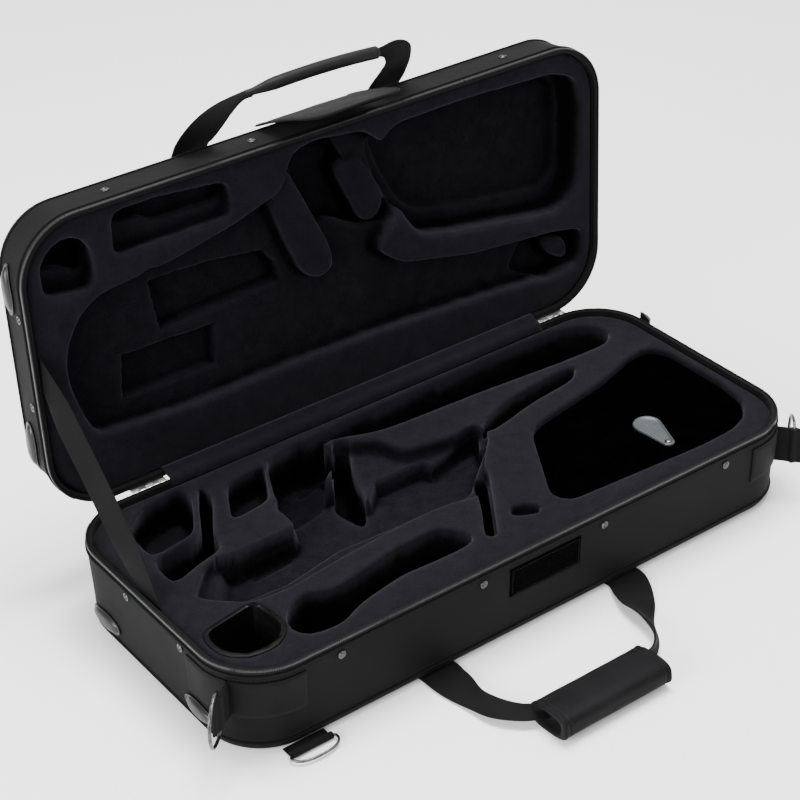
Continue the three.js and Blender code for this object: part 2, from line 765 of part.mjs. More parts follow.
// The webbing of a carrying handle, flat: two feet, two legs that run in, and a band through the grip
function handleShape(reach, legWidth, offset, gripLength) {
  const foot = webbingWidth / 2;
  const start = -webbingThickness / 2;
  const bend = reach * handleBendShare;
  const near = reach - legWidth / 2;
  const far = reach + legWidth / 2;
  const outline = [];
  const half = (side) => {
    const outer = footMiddle + side * (footSpacing / 2 + foot);
    const inner = footMiddle + side * (footSpacing / 2 - foot);
    const end = footMiddle + offset + side * (gripLength / 2);
    return [
      [inner, start, webbingBevel],
      [outer, start, webbingBevel],
      [outer, bend, legWidth],
      [end + side * legWidth * handleShoulderShare, far, legWidth],
      [end, near, legWidth],
      [inner, bend, legWidth],
    ];
  };
  const [left, right] = [half(-1), half(1)];
  outline.push(left[0], left[5], left[4], right[4], right[5], right[0]);
  outline.push(right[1], right[2], right[3], left[3], left[2], left[1]);
  return roundedShape(
    outline.map(([x, y]) => new THREE.Vector2(x, y)),
    outline.map(([, , round]) => round),
  );
}

// A grip: a closed sleeve of rounded section, with the slot that the webbing runs through
const gripSides = 18;
const gripPower = 3;
const gripShares = [[-0.5, 0.8], [-0.48, 0.94], [-0.44, 1], [0.44, 1], [0.48, 0.94], [0.5, 0.8]];
function grip(webbing, length, width, thickness, reach, offset) {
  const rings = gripShares.map(([share, scale]) => {
    const ring = [];
    for (let k = 0; k < gripSides; k++) {
      const angle = (2 * Math.PI * k) / gripSides;
      const sum = Math.abs(Math.cos(angle)) ** gripPower + Math.abs(Math.sin(angle)) ** gripPower;
      const squareness = sum ** (-1 / gripPower);
      ring.push(
        new THREE.Vector3(
          footMiddle + offset + share * length,
          reach + scale * (width / 2) * squareness * Math.cos(angle),
          scale * (thickness / 2) * squareness * Math.sin(angle),
        ),
      );
    }
    return ring;
  });
  const half = webbingThickness / 2 + gripClearance;
  const slot = solid(prism(webbing, -half, half, 0, -gripClearance));
  return geometryOf(solid(outward(loft(rings))).subtract(slot));
}

// A straight bar with a rectangular section between two points of a group
const slab = (x0, x1, y0, y1, z0, z1) =>
  new THREE.BoxGeometry(x1 - x0, y1 - y0, z1 - z0).translate(
    (x0 + x1) / 2,
    (y0 + y1) / 2,
    (z0 + z1) / 2,
  );

const caseGroup = new THREE.Group();
const lidHinge = new THREE.Group();
lidHinge.position.set(0, hingeY, hingeZ);
lidHinge.rotation.x = -openAngle;
const lid = new THREE.Group();
lid.rotation.x = Math.PI;
lid.position.set(0, -hingeY, closedHeight - hingeZ);
lidHinge.add(lid);
caseGroup.add(lidHinge);

// Shells, with the sewn-in ends of the handles' webbing
const stubEnd = -halfWidth - seat;
const baseFootY = stubEnd - footGap - webbingThickness / 2;
const baseFootZ = seat + webbingThickness / 2;
const lidFootY = halfWidth - lean(lidTub, edgeRadius) + seat;
const lidStubLow = lidFootDepth - stubThickness / 2;
let baseShell = shell(baseTub);
let lidShell = shell(lidTub);
for (const side of [-1, 1]) {
  const middle = footMiddle + (side * footSpacing) / 2;
  const left = middle - webbingWidth / 2;
  const right = middle + webbingWidth / 2;
  const root = halfWidth - lean(baseTub, 0) - edgeRadius;
  baseShell = baseShell.add(solid(slab(left, right, stubEnd, -root, seat, seat + stubThickness)));
  const lidRoot = halfWidth - lean(lidTub, 0) - edgeRadius;
  lidShell = lidShell.add(
    solid(slab(left, right, lidRoot, lidFootY, lidStubLow, lidStubLow + stubThickness)),
  );
}
lidShell = lidShell.add(
  solid(
    slab(
      flapCentre - flapWidth / 2,
      flapCentre + flapWidth / 2,
      halfWidth - lean(lidTub, 0) - edgeRadius,
      lidFootY,
      lidStubLow,
      lidStubLow + stubThickness,
    ),
  ),
);
const hingePlaces = [
  ["left", hingeLeftFromCorner - cornerStart],
  ["right", cornerStart - hingeRightFromCorner],
];
for (const [, x] of hingePlaces) {
  const left = x - hingeWidth / 2 - seat;
  const right = x + hingeWidth / 2 + seat;
  const far = halfWidth + cutOverrun;
  baseShell = baseShell.subtract(
    solid(slab(left, right, halfWidth, far, hingeZ - leafHeight - seat, baseDepth)),
  );
  const lidLow = closedHeight - hingeZ - leafHeight - seat;
  lidShell = lidShell.subtract(solid(slab(left, right, -far, -halfWidth, lidLow, lidDepth)));
}
piece(caseGroup, "base_shell", geometryOf(baseShell), "nylon");
piece(lid, "lid_shell", geometryOf(lidShell), "nylon");
piece(caseGroup, "base_zip_tape", geometryOf(zipTape(baseTub)), "tape");
piece(lid, "lid_zip_tape", geometryOf(zipTape(lidTub)), "tape");

// Linings
const baseTop = baseDepth - liningDrop;
const baseThick = baseTop - wall - seat;
const ledgeLevel = baseTop - coverDrop - coverThickness;
const compartment = wellShape(compartmentShares);
const boxOutline = wellShape(boxShares);
const compartmentFloor = baseTop - compartmentDepthShare * baseThick;
const boxFloor = baseTop - boxWellDepthShare * baseThick;
const above = baseTop + cutOverrun;
const baseLining = lining(baseTub, baseWellShares)
  .subtract(solid(prism(compartment, ledgeLevel - seat, above)))
  .subtract(solid(prism(compartment, baseTop - wellLip, above, wellLip, -wellLip)))
  .subtract(solid(prism(compartment, compartmentFloor, above, wellFloorRound, coverLedge)))
  .subtract(solid(prism(boxOutline, boxFloor - seat, above)));
piece(caseGroup, "base_lining", geometryOf(baseLining), "plush");

const lidTop = lidDepth - liningDrop;
const lidThick = lidTop - wall - seat;
const blockFloor = wall + wellFloorRound;
let lidLining = lining(lidTub, lidWellShares);
for (const { below, outline } of lidBlockShares) {
  const blockTop = lidTop - below * lidThick;
  lidLining = lidLining.add(
    solid(prism(wellShape(outline), blockFloor, blockTop, wellFloorRound, 0, blockRoundSteps)),
  );
}
piece(lid, "lid_lining", geometryOf(lidLining), "plush");

// Compartment cover, its tab, and the accessory box
piece(
  caseGroup,
  "compartment_cover",
  prism(compartment, ledgeLevel, ledgeLevel + coverThickness, coverBevel, fitClearance),
  "felt",
);
const tabDivisions = 6;
const tab = new THREE.Shape();
const tangent = Math.asin((tabWideRadius - tabNarrowRadius) / tabLength);
tab.absarc(0, tabLength, tabWideRadius, -tangent, Math.PI + tangent, false);
tab.absarc(0, 0, tabNarrowRadius, Math.PI + tangent, 2 * Math.PI - tangent, false);
tab.closePath();
const tabBottom = seat;
const tabTop = tabBottom + tabThickness;
const rivetRoot = tabTop - tabThickness / 2;
const rivetTop = tabTop + tabRivetHeight;
const rivetShoulder = [
  tabRivetRadius * Math.cos(Math.PI / 4),
  tabTop + tabRivetHeight * Math.sin(Math.PI / 4),
];
const rivetProfile = [
  [0, rivetRoot], [tabRivetRadius, rivetRoot], [tabRivetRadius, tabTop], rivetShoulder, [0, rivetTop],
].map(([x, y]) => new THREE.Vector2(x, y));
const rivet = solid(new THREE.LatheGeometry(rivetProfile, roundSides).rotateX(Math.PI / 2));
const tabPlate = solid(prism(tab, tabBottom, tabTop, coverBevel, 0, chamferSteps, tabDivisions));
const tabMesh = piece(caseGroup, "cover_tab", geometryOf(tabPlate.add(rivet)), "tab");
tabMesh.position.set(
  tabPlaceShares[0] * halfLength,
  tabPlaceShares[1] * halfWidth,
  ledgeLevel + coverThickness,
);
tabMesh.rotation.z = tabTurn;

const boxTop = baseTop + seat + boxFlangeThickness;
const boxBevel = boxFlangeThickness * boxBevelShare;
const boxHollow = prism(boxOutline, boxFloor + boxWall, boxTop + cutOverrun, 0, fitClearance + boxWall);
const boxBody = solid(prism(boxOutline, boxFloor, boxTop, 0, fitClearance))
  .add(solid(prism(boxOutline, baseTop + seat, boxTop, boxBevel, -boxFlange)))
  .subtract(solid(boxHollow));
piece(caseGroup, "accessory_box", geometryOf(boxBody), "moulding");

// Rivet studs on the front and end walls of both tubs
const outerStud = cornerStart - studFromCorner;
const innerStud = outerStud * studInnerShare;
const studRearY = endStretch - studRearFromCorner;
const studFrontY = endStretch - studFrontFromCorner;
const bumperCentre = endStretch - bumperFromCorner;
const frontStuds = [-outerStud, -innerStud, innerStud, outerStud];
for (const [group, tub, prefix, frontDrop, endDrop] of [
  [caseGroup, baseTub, "base", studFrontDrop, studEndDrop],
  [lid, lidTub, "lid", lidStudDrop, lidStudEndDrop],
]) {
  frontStuds.forEach((x, i) => {
    const place = onFrontWall(tub, x, tub.depth - frontDrop, seat);
    piece(place, prefix + "_stud_front_" + (i + 1), studGeometry(), "metal");
    group.add(place);
  });
  for (const [end, endName] of [[-1, "left"], [1, "right"]]) {
    for (const [y, name] of [[studRearY, "rear"], [-studFrontY, "front"]]) {
      const place = onEndWall(tub, end, -y * tub.front, tub.depth - endDrop, seat);
      piece(place, prefix + "_stud_" + endName + "_" + name, studGeometry(), "metal");
      group.add(place);
      const towards = name === "front" ? 1 : -1;
      const bumper = bumperGeometry(tub, end, towards * bumperCentre, towards);
      piece(group, prefix + "_bumper_" + endName + "_" + name, bumper, "moulding");
    }
  }
}

// Loop patch on the base's front wall
const patch = slab(
  -patchWidth / 2,
  patchWidth / 2,
  -patchHeight / 2,
  patchHeight / 2,
  0,
  patchThickness,
);
const patchLevel = baseDepth - patchRimDistance - patchHeight / 2;
const patchPlace = onFrontWall(baseTub, patchOffset, patchLevel, seat);
piece(patchPlace, "base_loop_patch", patch, "felt");
caseGroup.add(patchPlace);

// Corner tabs: a webbing pad round the corner, a fin folded out of it, and a sleeve for the ring
const padSteps = 12;
function cornerTab(end, angle) {
  const low = padLevel - webbingWidth / 2;
  const high = padLevel + webbingWidth / 2;
  const start = endStretch - padEndReach;
  const stop = endStretch + cornerRadius * (Math.PI / 2) + padFrontReach;
  const rings = [];
  for (let i = 0; i <= padSteps; i++) {
    const t = start + ((stop - start) * i) / padSteps;
    rings.push([
      wallPoint(baseTub, end, t, low, seat),
      wallPoint(baseTub, end, t, high, seat),
      wallPoint(baseTub, end, t, high, seat + padThickness),
      wallPoint(baseTub, end, t, low, seat + padThickness),
    ]);
  }
  const pad = solid(outward(loft(rings)));
  const centre = new THREE.Vector2(end * (halfLength - cornerRadius), -endStretch);
  const foot = cornerRadius - lean(baseTub, padLevel) + seat + padThickness / 2;
  const finEnd = cornerRadius + finLength;
  const fin = solid(slab(foot, finEnd, -finThickness / 2, finThickness / 2, low, high));
  const tube = (radius, from, to) =>
    solid(
      new THREE.CylinderGeometry(radius, radius, to - from, roundSides)
        .rotateX(Math.PI / 2)
        .translate(cornerRadius + sleeveReach, 0, (from + to) / 2),
    );
  const folded = fin
    .add(tube(sleeveRadius, low, high))
    .subtract(tube(sleeveBore, low - cutOverrun, high + cutOverrun));
  const turn = THREE.MathUtils.radToDeg(angle);
  return pad.add(folded.rotate([0, 0, turn]).translate([centre.x, centre.y, 0]));
}
for (const [end, name, angle, turn] of [
  [-1, "left", leftFinAngle, leftRingTurn],
  [1, "right", rightFinAngle, rightRingTurn],
]) {
  piece(caseGroup, "corner_tab_" + name, geometryOf(cornerTab(end, angle)), "webbing");
  const ring = piece(caseGroup, name + "_ring", dRing(ringHeight, ringReach, ringRod), "metal");
  const reach = cornerRadius + sleeveReach;
  ring.position.set(
    end * (halfLength - cornerRadius) + reach * Math.cos(angle),
    -(halfWidth - cornerRadius) + reach * Math.sin(angle),
    padLevel,
  );
  ring.rotation.z = angle + turn;
}

// Strap anchor: a webbing loop from under the front edge, with its own D-ring on the floor
const anchorAxisY = -halfWidth - anchorReach;
const anchorAxisZ = anchorRadius + seat;
const anchorRoot = -halfWidth + edgeInset(baseTub, anchorThickness + seat + seat);
const anchorTube = (radius, width) =>
  solid(
    new THREE.CylinderGeometry(radius, radius, width, roundSides)
      .rotateZ(Math.PI / 2)
      .translate(anchorCentre, anchorAxisY, anchorAxisZ),
  );
const anchor = solid(
  slab(
    anchorCentre - anchorWidth / 2,
    anchorCentre + anchorWidth / 2,
    anchorAxisY,
    anchorRoot,
    seat,
    seat + anchorThickness,
  ),
)
  .add(anchorTube(anchorRadius, anchorWidth))
  .subtract(anchorTube(anchorBore, anchorWidth + cutOverrun));
piece(caseGroup, "strap_anchor", geometryOf(anchor), "webbing");
const anchorRing = piece(
  caseGroup,
  "anchor_ring",
  dRing(anchorWidth + 2 * anchorRingPlay, anchorRingReach, anchorRod),
  "metal",
);
anchorRing.quaternion.setFromRotationMatrix(
  new THREE.Matrix4().makeBasis(
    new THREE.Vector3(0, -1, 0),
    new THREE.Vector3(0, 0, -1),
    new THREE.Vector3(1, 0, 0),
  ),
);
anchorRing.position.set(anchorCentre, anchorAxisY, anchorAxisZ);

// Carrying handles
const baseTilt = Math.asin((baseGripThickness / 2 - baseFootZ + seat + seat) / baseGripReach);
const baseHandle = new THREE.Group();
baseHandle.position.set(0, baseFootY, baseFootZ);
baseHandle.rotation.set(Math.PI - baseTilt, 0, 0);
const webbingBand = (shape) =>
  prism(shape, -webbingThickness / 2, webbingThickness / 2, webbingBevel);
const baseBand = handleShape(baseGripReach, baseLegWidth, baseGripOffset, baseGripLength);
piece(baseHandle, "base_handle_webbing", webbingBand(baseBand), "webbing");
piece(
  baseHandle,
  "handle_wrap",
  grip(baseBand, baseGripLength, baseGripWidth, baseGripThickness, baseGripReach, baseGripOffset),
  "nylon",
);
caseGroup.add(baseHandle);

const lidHandle = new THREE.Group();
lidHandle.position.set(0, lidFootY + footGap + webbingThickness / 2, lidFootDepth);
lidHandle.rotation.x = lidHandleLean + openAngle - Math.PI / 2;
const lidBand = handleShape(lidGripReach, lidLegWidth, lidGripOffset, lidGripLength);
piece(lidHandle, "lid_handle_webbing", webbingBand(lidBand), "webbing");
piece(
  lidHandle,
  "lid_handle_grip",
  grip(lidBand, lidGripLength, lidGripWidth, lidGripThickness, lidGripReach, lidGripOffset),
  "nylon",
);
lid.add(lidHandle);

// Closing flap, sewn along the lid's outer front edge and bowed over the rim
const flapStations = 8;
const flapRings = [];
for (let i = 0; i <= flapStations; i++) {
  const along = flapLength * (i / flapStations);
  const left = flapLength - along;
  const inCorner = Math.max(flapCorner - left, 0);
  const cut = flapCorner - Math.sqrt(flapCorner ** 2 - inCorner ** 2);
  const half = flapWidth / 2 - cut;
  const fromMiddle = (along + along) / flapLength - 1;
  const rise = flapBow * (1 - fromMiddle ** 2);
  const [low, high] = [rise - flapThickness / 2, rise + flapThickness / 2];
  flapRings.push([
    new THREE.Vector3(-half, low, along),
    new THREE.Vector3(half, low, along),
    new THREE.Vector3(half, high, along),
    new THREE.Vector3(-half, high, along),
  ]);
}
const flapGroup = new THREE.Group();
const flapY = lidFootY + footGap + flapThickness / 2;
flapGroup.position.set(flapCentre, flapY, lidFootDepth);
flapGroup.rotation.x = -flapRise;
piece(flapGroup, "lid_flap", outward(loft(flapRings)), "nylon");
const hookFrom = baseDepth - patchRimDistance - patchHeight;
const hookAt = closedHeight - hookFrom - lidFootDepth - patchHeight;
piece(
  flapGroup,
  "flap_hook_patch",
  slab(
    -patchWidth / 2,
    patchWidth / 2,
    -flapThickness / 2 - seat - patchThickness,
    -flapThickness / 2 - seat,
    hookAt,
    hookAt + patchHeight,
  ),
  "felt",
);
lid.add(flapGroup);

// Hinges: a leaf on each back wall, interleaved knuckles, and a pin fixed in the base's leaf
const knuckle = (from, to, radius) =>
  solid(
    new THREE.CylinderGeometry(radius, radius, to - from, roundSides)
      .rotateZ(Math.PI / 2)
      .translate((from + to) / 2, 0, 0),
  );
function hingeLeaf(first, down) {
  const half = hingeWidth / 2;
  const clear = knuckleRadius + knuckleGap;
  const plate = (from, to, near) =>
    down
      ? slab(from, to, -knuckleRadius, leafThickness - knuckleRadius, -leafHeight, -near)
      : slab(from, to, -knuckleRadius, leafThickness - knuckleRadius, near, leafHeight);
  let leaf = solid(plate(-half, half, clear));
  for (let i = first; i < knuckleShares.length - 1; i += 2) {
    const from = knuckleShares[i] * hingeWidth + (i > 0 ? knuckleGap / 2 : 0);
    const to = knuckleShares[i + 1] * hingeWidth - knuckleGap / 2;
    leaf = leaf.add(knuckle(from, to, knuckleRadius)).add(solid(plate(from, to, 0)));
  }
  return leaf;
}
for (const [name, x] of hingePlaces) {
  const pin = knuckle(-hingeWidth / 2, hingeWidth / 2, pinRadius);
  const bore = knuckle(-hingeWidth, hingeWidth, pinRadius + knuckleGap);
  const baseLeaf = geometryOf(hingeLeaf(0, true).add(pin));
  const lidLeaf = geometryOf(hingeLeaf(1, false).subtract(bore));
  const fixed = piece(caseGroup, "hinge_base_leaf_" + name, baseLeaf, "metal");
  fixed.position.set(x, hingeY, hingeZ);
  const moving = piece(lidHinge, "hinge_lid_leaf_" + name, lidLeaf, "metal");
  moving.position.set(x, 0, 0);
}

// Zip slider and its pull, on the right end wall
const sliderX = halfLength + seat;
const sliderY = halfWidth - cornerRadius - sliderBack;
const sliderZ = baseDepth + rimGap / 2;
const sliderNose = sliderHeight * sliderNoseShare;
const sliderPlate = new THREE.Shape();
sliderPlate.moveTo(-sliderLength / 2, -sliderNose / 2);
sliderPlate.lineTo(0, -sliderHeight / 2);
sliderPlate.lineTo(sliderLength / 2, -sliderHeight / 2);
sliderPlate.lineTo(sliderLength / 2, sliderHeight / 2);
sliderPlate.lineTo(0, sliderHeight / 2);
sliderPlate.lineTo(-sliderLength / 2, sliderNose / 2);
sliderPlate.closePath();
const sliderPost = (radius, low, high) =>
  solid(
    new THREE.CylinderGeometry(radius, radius, high - low, roundSides)
      .rotateX(Math.PI / 2)
      .translate(0, 0, (low + high) / 2),
  );
const pullLow = sliderThickness + seat;
const headLow = pullLow + pullThickness + seat;
const slider = solid(prism(sliderPlate, 0, sliderThickness, coverBevel))
  .add(sliderPost(pullPin, 0, headLow + pullHead))
  .add(sliderPost(pullPin + pullHead, headLow, headLow + pullHead));
const sliderMesh = piece(caseGroup, "zip_slider", geometryOf(slider), "metal");
const sliderBasis = new THREE.Matrix4().makeBasis(
  new THREE.Vector3(0, 1, 0),
  new THREE.Vector3(0, 0, 1),
  new THREE.Vector3(1, 0, 0),
);
sliderMesh.quaternion.setFromRotationMatrix(sliderBasis);
sliderMesh.position.set(sliderX, sliderY, sliderZ);
const pullShape = roundedShape(
  [
    new THREE.Vector2(-pullWidth / 2, -pullLength),
    new THREE.Vector2(pullWidth / 2, -pullLength),
    new THREE.Vector2(pullWidth / 2, pullWidth / 2),
    new THREE.Vector2(-pullWidth / 2, pullWidth / 2),
  ],
  pullWidth / 2,
);
const pull = solid(prism(pullShape, 0, pullThickness)).subtract(
  sliderPost(pullPin + seat, -cutOverrun, cutOverrun),
);
const pullMesh = piece(caseGroup, "zip_pull", geometryOf(pull), "metal");
pullMesh.quaternion.setFromRotationMatrix(sliderBasis);
pullMesh.position.set(sliderX + pullLow, sliderY, sliderZ);

// Stay strap between the left ends of the two rims, its ends cut along the linings
const staySpan = stayWidth / 2 / Math.sin(openAngle / 2);
const stayFootZ = baseDepth - liningDrop + seat;
const stayHeadZ = lidRimLevel + liningDrop - seat - hingeZ;
const stayHead = (y) =>
  new THREE.Vector2(y - hingeY, stayHeadZ)
    .rotateAround(new THREE.Vector2(), -openAngle)
    .add(new THREE.Vector2(hingeY, hingeZ));
const stayShape = new THREE.Shape([
  new THREE.Vector2(stayMiddle - staySpan, stayFootZ),
  new THREE.Vector2(stayMiddle + staySpan, stayFootZ),
  stayHead(-stayMiddle + staySpan),
  stayHead(-stayMiddle - staySpan),
]);
const stay = piece(caseGroup, "stay_strap", prism(stayShape, 0, stayThickness), "webbing");
stay.quaternion.setFromRotationMatrix(sliderBasis);
stay.position.x = -halfLength + stayFromEnd;

export default caseGroup;
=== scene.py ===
import bmesh
import bpy
import json
import math
import numpy as np
from mathutils import Matrix, Vector, noise

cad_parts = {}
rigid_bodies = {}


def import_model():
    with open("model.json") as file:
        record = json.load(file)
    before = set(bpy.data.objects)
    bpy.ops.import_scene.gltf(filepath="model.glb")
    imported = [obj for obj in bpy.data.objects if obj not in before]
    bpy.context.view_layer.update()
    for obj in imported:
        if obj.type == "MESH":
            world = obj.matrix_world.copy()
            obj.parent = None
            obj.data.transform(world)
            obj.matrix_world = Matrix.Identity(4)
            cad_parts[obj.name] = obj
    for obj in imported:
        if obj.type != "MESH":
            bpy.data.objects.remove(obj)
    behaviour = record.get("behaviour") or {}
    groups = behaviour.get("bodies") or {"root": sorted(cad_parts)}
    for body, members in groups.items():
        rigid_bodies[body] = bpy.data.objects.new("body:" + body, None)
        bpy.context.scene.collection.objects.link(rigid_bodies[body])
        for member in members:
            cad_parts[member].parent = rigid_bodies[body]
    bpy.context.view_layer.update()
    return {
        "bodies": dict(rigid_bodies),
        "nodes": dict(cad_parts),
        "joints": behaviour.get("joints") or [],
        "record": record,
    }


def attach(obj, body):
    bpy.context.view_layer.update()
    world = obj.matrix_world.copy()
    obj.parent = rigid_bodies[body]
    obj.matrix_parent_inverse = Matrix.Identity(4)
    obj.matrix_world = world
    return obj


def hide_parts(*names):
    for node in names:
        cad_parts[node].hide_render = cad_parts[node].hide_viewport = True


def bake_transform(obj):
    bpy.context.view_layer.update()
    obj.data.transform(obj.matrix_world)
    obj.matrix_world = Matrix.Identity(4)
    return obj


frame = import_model()
nodes = frame["nodes"]
MM = 0.001

# The case, in millimetres
HALF_LENGTH, HALF_WIDTH, CORNER = 325, 145, 60
BASE_DEPTH, LID_DEPTH = 92, 55
# How far the walls lean in from rim to foot
BASE_TAPER, LID_TAPER = 2.8, 4.9
# Rounding of the outer edge, thickness of the wall, gap between two pieces
EDGE, WALL, SEAT = 9, 5, 0.3
# The zip's tape, and the step in the rim that it lies in
TAPE_WIDTH, ZIP_STEP = 6, 1.8
PIPING = 1.2
# The hinge's axis, the height when closed, and how far the lid stands open
HINGE_Y, HINGE_Z, CLOSED = 147.6, 88.5, 148
OPEN_ANGLE = math.radians(92)

scene = bpy.context.scene


# ---- tubs
# Places a point of the lid, drawn as a tub with its outer face at z = 0, in the model's frame
lid_turn = Matrix.Translation((0, HINGE_Y, HINGE_Z)) @ Matrix.Rotation(-OPEN_ANGLE, 4, "X")
LID = lid_turn @ Matrix.Translation((0, -HINGE_Y, CLOSED - HINGE_Z)) @ Matrix.Rotation(math.pi, 4, "X")
BASE = Matrix.Identity(4)


class Tub:
    """One half of the case, drawn with its outer face down; front is the sign of its front wall's y."""

    def __init__(self, depth, taper, front, place, body, pile):
        # pile scales the painted shade of this half's plush lining; below 1 it is painted darker
        self.pile = pile
        self.depth = depth
        self.taper = taper
        self.front = front
        self.place = place
        self.body = body

    def lean(self, z):
        return self.taper * (1 - z / self.depth)


# The last numbers scale the painted shade of each lining: the lid's plush is painted darker than the base's
base_tub = Tub(BASE_DEPTH, BASE_TAPER, -1, BASE, "base", 0.93)
lid_tub = Tub(LID_DEPTH, LID_TAPER, 1, LID, "lid", 0.9)


# The outline's straight runs and arcs in turn, from the middle of the +X end
CORNER_X, CORNER_Y = HALF_LENGTH - CORNER, HALF_WIDTH - CORNER
QUARTER = math.pi / 2
ARC = QUARTER * CORNER
RUNS = [CORNER_Y, ARC, 2 * CORNER_X, ARC, 2 * CORNER_Y, ARC, 2 * CORNER_X, ARC, CORNER_Y]
OUTLINE = sum(RUNS)


def outline_point(share, inset, z):
    """A point of the rounded outline drawn in by an inset, and its way out."""
    radius = max(CORNER - inset, 2)
    cx = HALF_LENGTH - inset - radius
    cy = HALF_WIDTH - inset - radius
    s = (share % 1.0) * OUTLINE
    k = 0
    while k < 8 and s > RUNS[k]:
        s -= RUNS[k]
        k += 1
    t = s / RUNS[k]
    if k % 2:
        angle = (k // 2) * QUARTER + t * QUARTER
        mx = cx if k in (1, 7) else -cx
        my = cy if k in (1, 3) else -cy
        n = (math.cos(angle), math.sin(angle))
        return (mx + radius * n[0], my + radius * n[1], z), n
    if k == 2:
        return (cx - 2 * cx * t, cy + radius, z), (0, 1)
    if k == 4:
        return (-cx - radius, cy - 2 * cy * t, z), (-1, 0)
    if k == 6:
        return (-cx + 2 * cx * t, -cy - radius, z), (0, -1)
    return (cx + radius, cy * t if k == 0 else -cy + cy * t, z), (1, 0)


# Shares of the outline that rings of points stand at, denser round the corners
CORNER_STEPS, STEP = 18, 8.0
SHARES = []
for k, length in enumerate(RUNS):
    count = CORNER_STEPS if k % 2 else int(length / STEP)
    SHARES += [(sum(RUNS[:k]) + length * i / count) / OUTLINE for i in range(count)]


# ---- mesh helpers
def make_mesh(name, points, faces, place=BASE, uvs=None, smooth=True, sharp=None):
    """An object from points and UVs in millimetres, in the frame of place."""
    mesh = bpy.data.meshes.new(name)
    mesh.from_pydata([(place @ Vector(p)) * MM for p in points], [], faces)
    if uvs is not None:
        layer = mesh.uv_layers.new(name="UVMap")
        for loop in mesh.loops:
            u, v = uvs[loop.vertex_index]
            layer.data[loop.index].uv = (u * MM, v * MM)
    bm = bmesh.new()
    bm.from_mesh(mesh)
    bmesh.ops.recalc_face_normals(bm, faces=bm.faces)
    bm.to_mesh(mesh)
    bm.free()
    obj = bpy.data.objects.new(name, mesh)
    scene.collection.objects.link(obj)
    for polygon in mesh.polygons:
        polygon.use_smooth = smooth
    if sharp is not None:
        mesh.set_sharp_from_angle(angle=math.radians(sharp))
    return obj


def finish_piece(obj, body, material, replaces=()):
    obj.data.materials.clear()
    obj.data.materials.append(material.material)
    if body:
        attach(obj, body)
    if replaces:
        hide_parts(*replaces)


def grid_faces(rows, columns, close_rows=False, close_columns=False, start=0):
    """Quads between rows of points; rows and columns may close on themselves."""
    faces = []
    for i in range(rows if close_rows else rows - 1):
        for j in range(columns if close_columns else columns - 1):
            a = start + i * columns + j
            b = start + i * columns + (j + 1) % columns
            c = start + ((i + 1) % rows) * columns + (j + 1) % columns
            d = start + ((i + 1) % rows) * columns + j
            faces.append((a, b, c, d))
    return faces


def drum_faces(rows, columns, start=0):
    """Rings of points joined to a drum, with two flat ends."""
    last = start + (rows - 1) * columns
    faces = grid_faces(rows, columns, close_columns=True, start=start)
    return faces + [tuple(range(start, start + columns)), tuple(range(last, last + columns))]


def dome_faces(rows, columns):
    """Rings of points over a flat end, drawn in to one last point."""
    last = (rows - 1) * columns
    faces = grid_faces(rows, columns, close_columns=True) + [tuple(range(columns))]
    return faces + [(last + k, last + (k + 1) % columns, last + columns) for k in range(columns)]


def edge_loop(rows, columns):
    """The points round the edge of a grid."""
    loop = [(0, j) for j in range(columns)] + [(i, columns - 1) for i in range(1, rows)]
    loop += [(rows - 1, j) for j in range(columns - 2, -1, -1)] + [(i, 0) for i in range(rows - 2, 0, -1)]
    return [i * columns + j for i, j in loop]


def slab(name, front, back, columns, place, uvs, sharp=None):
    """Two grids of points, a face each, joined round their edge."""
    rows, start = len(front) // columns, len(front)
    faces = grid_faces(rows, columns) + grid_faces(rows, columns, start=start)
    loop = edge_loop(rows, columns)
    faces += [(a, b, start + b, start + a) for a, b in zip(loop, loop[1:] + loop[:1])]
    return make_mesh(name, front + back, faces, place, uvs + uvs, sharp=sharp)


def smooth_shaded(obj):
    for polygon in obj.data.polygons:
        polygon.use_smooth = True


def add_weld(obj):
    obj.modifiers.new("weld", "WELD").merge_threshold = 0.00002


def copy_of(node, name):
    obj = bpy.data.objects.new(name, nodes[node].data.copy())
    scene.collection.objects.link(obj)
    obj.data.materials.clear()
    return obj


def soften(obj, voxel, rounds):
    """The mesh made anew in fine even faces, its edges rounded."""
    add_weld(obj)
    remesh = obj.modifiers.new("remesh", "REMESH")
    remesh.mode = "VOXEL"
    remesh.voxel_size = voxel
    smooth = obj.modifiers.new("smooth", "SMOOTH")
    smooth.factor = 0.5
    smooth.iterations = rounds
    graph = bpy.context.evaluated_depsgraph_get()
    mesh = bpy.data.meshes.new_from_object(obj.evaluated_get(graph))
    obj.modifiers.clear()
    obj.data = mesh


def stepped(corners, steps):
    """Points along the lines from corner to corner, all but the last."""
    lines = zip(corners, corners[1:])
    return [Vector(a).lerp(Vector(b), k / steps) for a, b in lines for k in range(steps)]


def box_uv(obj):
    """UVs in metres by the face's main direction."""
    mesh = obj.data
    layer = mesh.uv_layers.active or mesh.uv_layers.new(name="UVMap")
    for polygon in mesh.polygons:
        n = [abs(v) for v in polygon.normal]
        axis = n.index(max(n))
        u, v = [(1, 2), (0, 2), (0, 1)][axis]
        for k in polygon.loop_indices:
            co = mesh.vertices[mesh.loops[k].vertex_index].co
            layer.data[k].uv = (co[u], co[v])


def ring_tube(name, path, radius, place):
    """A tube along a closed level path, in millimetres."""
    pts = [Vector(p) for p in path]
    points, uvs, run, sides = [], [], 0.0, 10
    for i, p in enumerate(pts):
        after = pts[(i + 1) % len(pts)]
        side = (after - pts[i - 1]).cross(Vector((0, 0, 1))).normalized()
        for k in range(sides):
            angle = math.tau * k / sides
            points.append(p + side * (radius * math.cos(angle)) + Vector((0, 0, radius * math.sin(angle))))
            uvs.append((run, radius * angle))
        run += (after - p).length
    return make_mesh(name, points, grid_faces(len(pts), sides, True, True), place, uvs)


